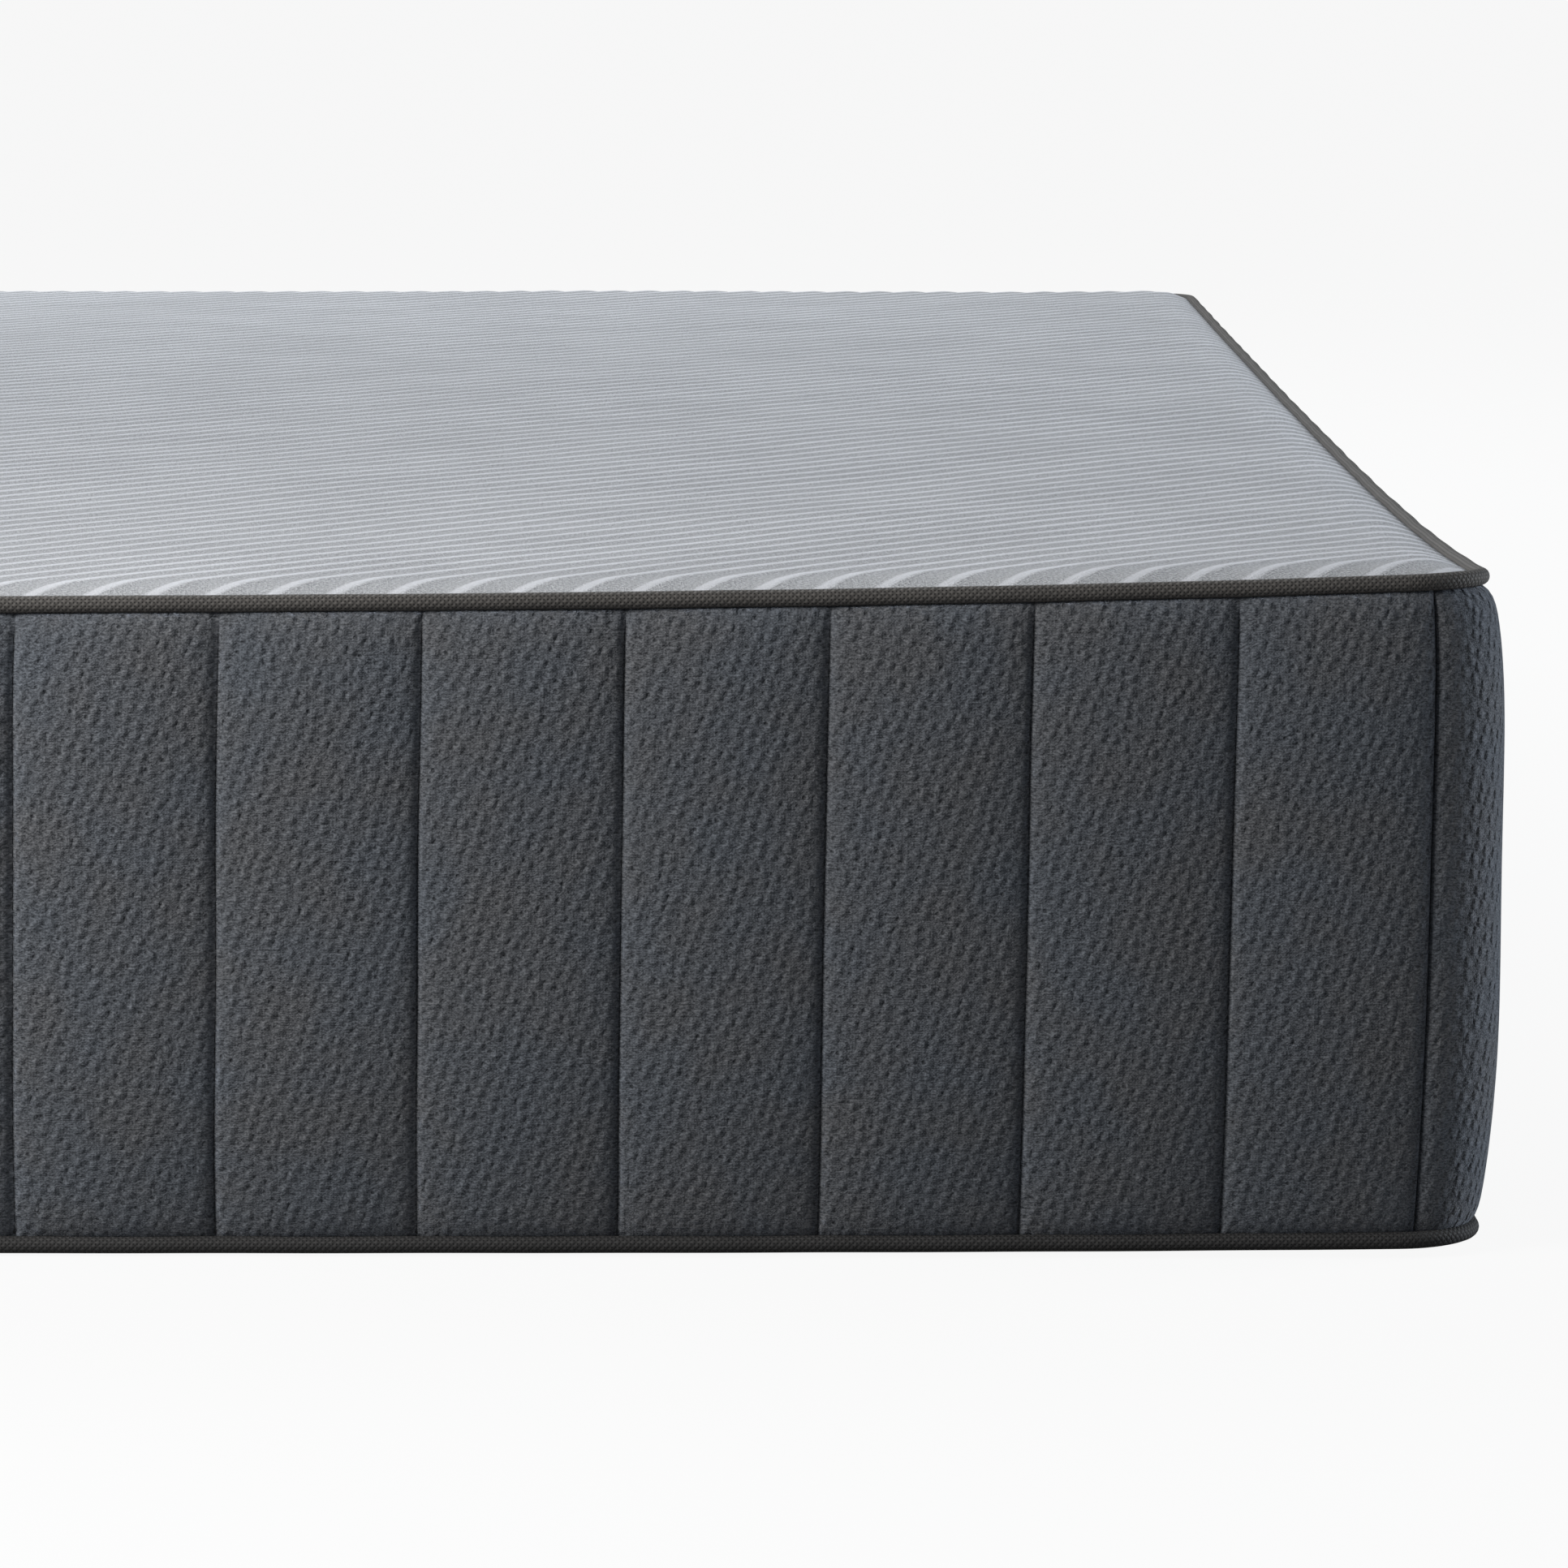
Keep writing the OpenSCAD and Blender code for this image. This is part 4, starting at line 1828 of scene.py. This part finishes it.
# ---------------------------------------------------------------------------
# Studio
# ---------------------------------------------------------------------------


@dataclass(frozen=True)
class Studio:
    """Pale floor, soft lamps and the camera."""

    lens: float = 137.4
    beside: float = 252.5 * MM
    before: float = 2245 * MM
    above: float = 503 * MM
    pitch: float = math.radians(8.055)
    yaw: float = math.radians(0.615)
    pale: float = 0.94
    floor_glow: float = 1.14

    def camera(self) -> None:
        """Stands the camera in front of the foot end, left of the right-hand side."""
        data = bpy.data.cameras.new("camera")
        data.lens = self.lens
        data.sensor_width = 36.0
        data.clip_start = 0.05
        data.clip_end = 300.0
        camera = bpy.data.objects.new("camera", data)
        camera.location = (CAD_HIGH.x - self.beside, CAD_LOW.y - self.before, self.above)
        camera.rotation_euler = (math.pi / 2 - self.pitch, 0.0, self.yaw)
        bpy.context.scene.collection.objects.link(camera)
        bpy.context.scene.camera = camera

    def floor(self) -> None:
        """Lays the floor."""
        shape = bmesh.new()
        bmesh.ops.create_circle(shape, cap_ends=True, segments=64, radius=90.0)
        mesh = bpy.data.meshes.new("floor")
        shape.to_mesh(mesh)
        shape.free()
        material = bpy.data.materials.new("floor_pale")
        material.use_nodes = True
        material.node_tree.nodes.clear()
        pen = Pen(material.node_tree)
        matt = pen.node("ShaderNodeBsdfDiffuse")
        matt.inputs[0].default_value = (0.3, 0.3, 0.3, 1.0)
        glow = pen.node("ShaderNodeEmission")
        glow.inputs[0].default_value = (self.pale, self.pale, self.pale, 1.0)
        glow.inputs[1].default_value = self.floor_glow
        rays = pen.node("ShaderNodeLightPath")
        share = pen.math("MULTIPLY", rays.outputs["Is Camera Ray"], 0.86)
        mixed = pen.node("ShaderNodeMixShader")
        pen.feed(mixed.inputs[0], share)
        pen.feed(mixed.inputs[1], matt.outputs[0])
        pen.feed(mixed.inputs[2], glow.outputs[0])
        pen.feed(pen.node("ShaderNodeOutputMaterial").inputs[0], mixed.outputs[0])
        mesh.materials.append(material)
        floor = bpy.data.objects.new("floor", mesh)
        bpy.context.scene.collection.objects.link(floor)

    def lamp(self, name: str, at: Vector, aim: Vector, size: float, power: float, tint: Colour) -> None:
        """Hangs a square soft lamp that faces a point.

        Args:
            name: name of the lamp.
            at: where it hangs.
            aim: point that it faces.
            size: length of its sides.
            power: watts.
            tint: colour of its light.
        """
        data = bpy.data.lights.new(name, "AREA")
        data.size = size
        data.energy = power
        data.color = tint
        lamp = bpy.data.objects.new(name, data)
        lamp.location = at
        lamp.rotation_euler = (aim - at).to_track_quat("-Z", "Y").to_euler()
        bpy.context.scene.collection.objects.link(lamp)

    def world(self) -> None:
        """Fills the room with soft light, and shows it pale to the camera."""
        world = bpy.data.worlds.new("studio")
        bpy.context.scene.world = world
        world.use_nodes = True
        world.node_tree.nodes.clear()
        pen = Pen(world.node_tree)
        rays = pen.node("ShaderNodeLightPath")
        fill = pen.node("ShaderNodeBackground")
        fill.inputs[0].default_value = (0.86, 0.92, 1.0, 1.0)
        fill.inputs[1].default_value = 0.17
        seen = pen.node("ShaderNodeBackground")
        seen.inputs[0].default_value = (self.pale, self.pale, self.pale, 1.0)
        mixed = pen.node("ShaderNodeMixShader")
        pen.feed(mixed.inputs[0], rays.outputs["Is Camera Ray"])
        pen.feed(mixed.inputs[1], fill.outputs[0])
        pen.feed(mixed.inputs[2], seen.outputs[0])
        pen.feed(pen.node("ShaderNodeOutputWorld").inputs[0], mixed.outputs[0])

    def build(self) -> None:
        """Sets the whole studio up."""
        self.camera()
        self.floor()
        self.world()
        foot = Vector((0.3, CAD_LOW.y, 0.15))
        corner = Vector((0.75, -0.9, 0.13))
        self.lamp("key", Vector((-0.6, CAD_LOW.y - 0.65, 0.95)), foot, 0.65, 22.5, (1.0, 0.99, 0.97))
        self.lamp("top", Vector((-0.6, 2.0, 2.6)), Vector((-0.1, 1.0, 0.2)), 2.2, 118.0, (0.95, 0.98, 1.0))
        self.lamp("rim", Vector((2.5, -0.35, 0.45)), corner, 0.7, 30.0, (0.88, 0.94, 1.0))
        bpy.context.scene.view_settings.view_transform = "Standard"


# ---------------------------------------------------------------------------
# The whole mattress
# ---------------------------------------------------------------------------


def dress_layers(border: QuiltedBorder) -> None:
    """Builds what lies behind the border fabric.

    Args:
        border: the border that they lie behind.
    """
    fibre = PlainFinish(
        "wadding_fibre", (0.05, 0.052, 0.056), (0.11, 0.115, 0.12),
        Grain.FIBRES, 1.2 * MM, 0.5 * MM,
    )
    fleece = PlainFinish(
        "backing_fleece", (0.03, 0.031, 0.033), (0.06, 0.062, 0.066),
        Grain.FIBRES, 0.8 * MM, 0.2 * MM,
    )
    deep = border.seam_depth + border.fabric
    wadding = border.layer(
        "border_wadding_fibre", "border_wadding", (border.fabric + 0.9 * MM, 1.0, 12.4 * MM),
        (deep + 3.6 * MM, 0.0, 12.6 * MM), fibre.material(), "wadding", 8,
    )
    border.layer(
        "border_backing_fleece", "border_backing", (deep + 3.7 * MM, 0.0, 12.7 * MM),
        (deep + 4.4 * MM, 0.0, 13.4 * MM), fleece.material(), "backing", 2,
    )


def dress_core() -> None:
    """Builds the foams and the sock that holds them."""
    foams = (
        ("gel_foam", (0.20, 0.36, 0.52), (0.34, 0.50, 0.66)),
        ("transition_foam", (0.66, 0.66, 0.62), (0.80, 0.80, 0.76)),
        ("base_foam", (0.50, 0.51, 0.50), (0.66, 0.67, 0.66)),
    )
    for node, dark, light in foams:
        pores = PlainFinish(f"{node}_cells", dark, light, Grain.PORES, 0.9 * MM, 0.4 * MM, 0.9)
        Slab(node, node, 24 * MM, 3 * MM).build(pores.material())
    knit = PlainFinish(
        "sock_knit_face", (0.62, 0.62, 0.60), (0.80, 0.80, 0.78),
        Grain.LOOPS, 1.6 * MM, 0.3 * MM,
    )
    SockShell().build(knit.material())


def dress_zip() -> None:
    """Builds the zip, and finishes its metal parts."""
    tape = WovenTape("zip_tape_weave", (0.05, 0.052, 0.055), (0.016, 0.016, 0.017), 0.9 * MM, 0.2 * MM)
    woven = tape.material()
    for node in ("zip_upper_tape", "zip_lower_tape"):
        piece = Slab(node, "zip_tape", 0.0, 0.3 * MM).build(woven)
    coil = PlainFinish(
        "zip_coil_nylon", (0.035, 0.036, 0.038), (0.06, 0.062, 0.065),
        Grain.FIBRES, 0.5 * MM, 0.05 * MM, 0.4,
    )
    nylon = coil.material(Coordinates.OBJECT)
    ZipCoil("zip_upper_teeth", 0.0).build(nylon)
    ZipCoil("zip_lower_teeth", 0.5).build(nylon)
    metal = WornMetal().material()
    for node in ("zip_top_stop", "zip_bottom_stop", "zip_slider", "zip_pull_tab"):
        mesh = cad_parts[node].data
        mesh.materials.clear()
        mesh.materials.append(metal)


def dress_pipings() -> None:
    """Builds both pipings, each a woven sleeve round a filler cord."""
    filler = PlainFinish(
        "filler_cord_fibre", (0.60, 0.60, 0.58), (0.78, 0.78, 0.76),
        Grain.FIBRES, 0.6 * MM, 0.2 * MM,
    )
    cord = filler.material()
    upper = WovenTape("upper_piping_weave", (0.084, 0.078, 0.073), (0.014, 0.013, 0.012))
    lower = WovenTape("lower_piping_weave", (0.036, 0.035, 0.035), (0.009, 0.009, 0.009))
    for side, level, lifted, weave in (
        ("upper", SIZES.upper_piping_z, 1.0, upper),
        ("lower", SIZES.lower_piping_z, 0.0, lower),
    ):
        sleeve = Piping(f"{side}_piping_sleeve", level, lifted)
        sleeve.build(weave.material(), "piping_tape", [f"{side}_piping_tape"])
        core = Piping(f"{side}_piping_filler", level, lifted, 2.2 * MM, 0.0, 10)
        core.build(cord, "filler_cord", [f"{side}_piping_cord"])


def main() -> None:
    """Builds every piece in order."""
    logging.basicConfig(level=logging.INFO, format="%(name)s: %(message)s")
    Studio().build()
    border = QuiltedBorder()
    thread = PlainFinish(
        "border_thread_twist", (0.018, 0.019, 0.021), (0.04, 0.042, 0.046),
        Grain.FIBRES, 0.4 * MM, 0.1 * MM,
    )
    border.build(BorderKnit().material(), thread.material(Coordinates.OBJECT))
    dress_layers(border)
    dress_pipings()
    RibbedTop().build(TopKnit().material())
    grip = PlainFinish(
        "bottom_grip_cloth", (0.03, 0.031, 0.033), (0.075, 0.077, 0.08),
        Grain.DOTS, 6 * MM, 0.5 * MM,
    )
    BottomPanel().build(grip.material())
    dress_zip()
    ribbon = PlainFinish(
        "label_satin", (0.72, 0.72, 0.70), (0.84, 0.84, 0.82),
        Grain.WEAVE, 0.5 * MM, 0.1 * MM, 0.5,
    )
    CareLabel(border).build(ribbon.material())
    dress_core()


if __name__ == "__main__":
    main()
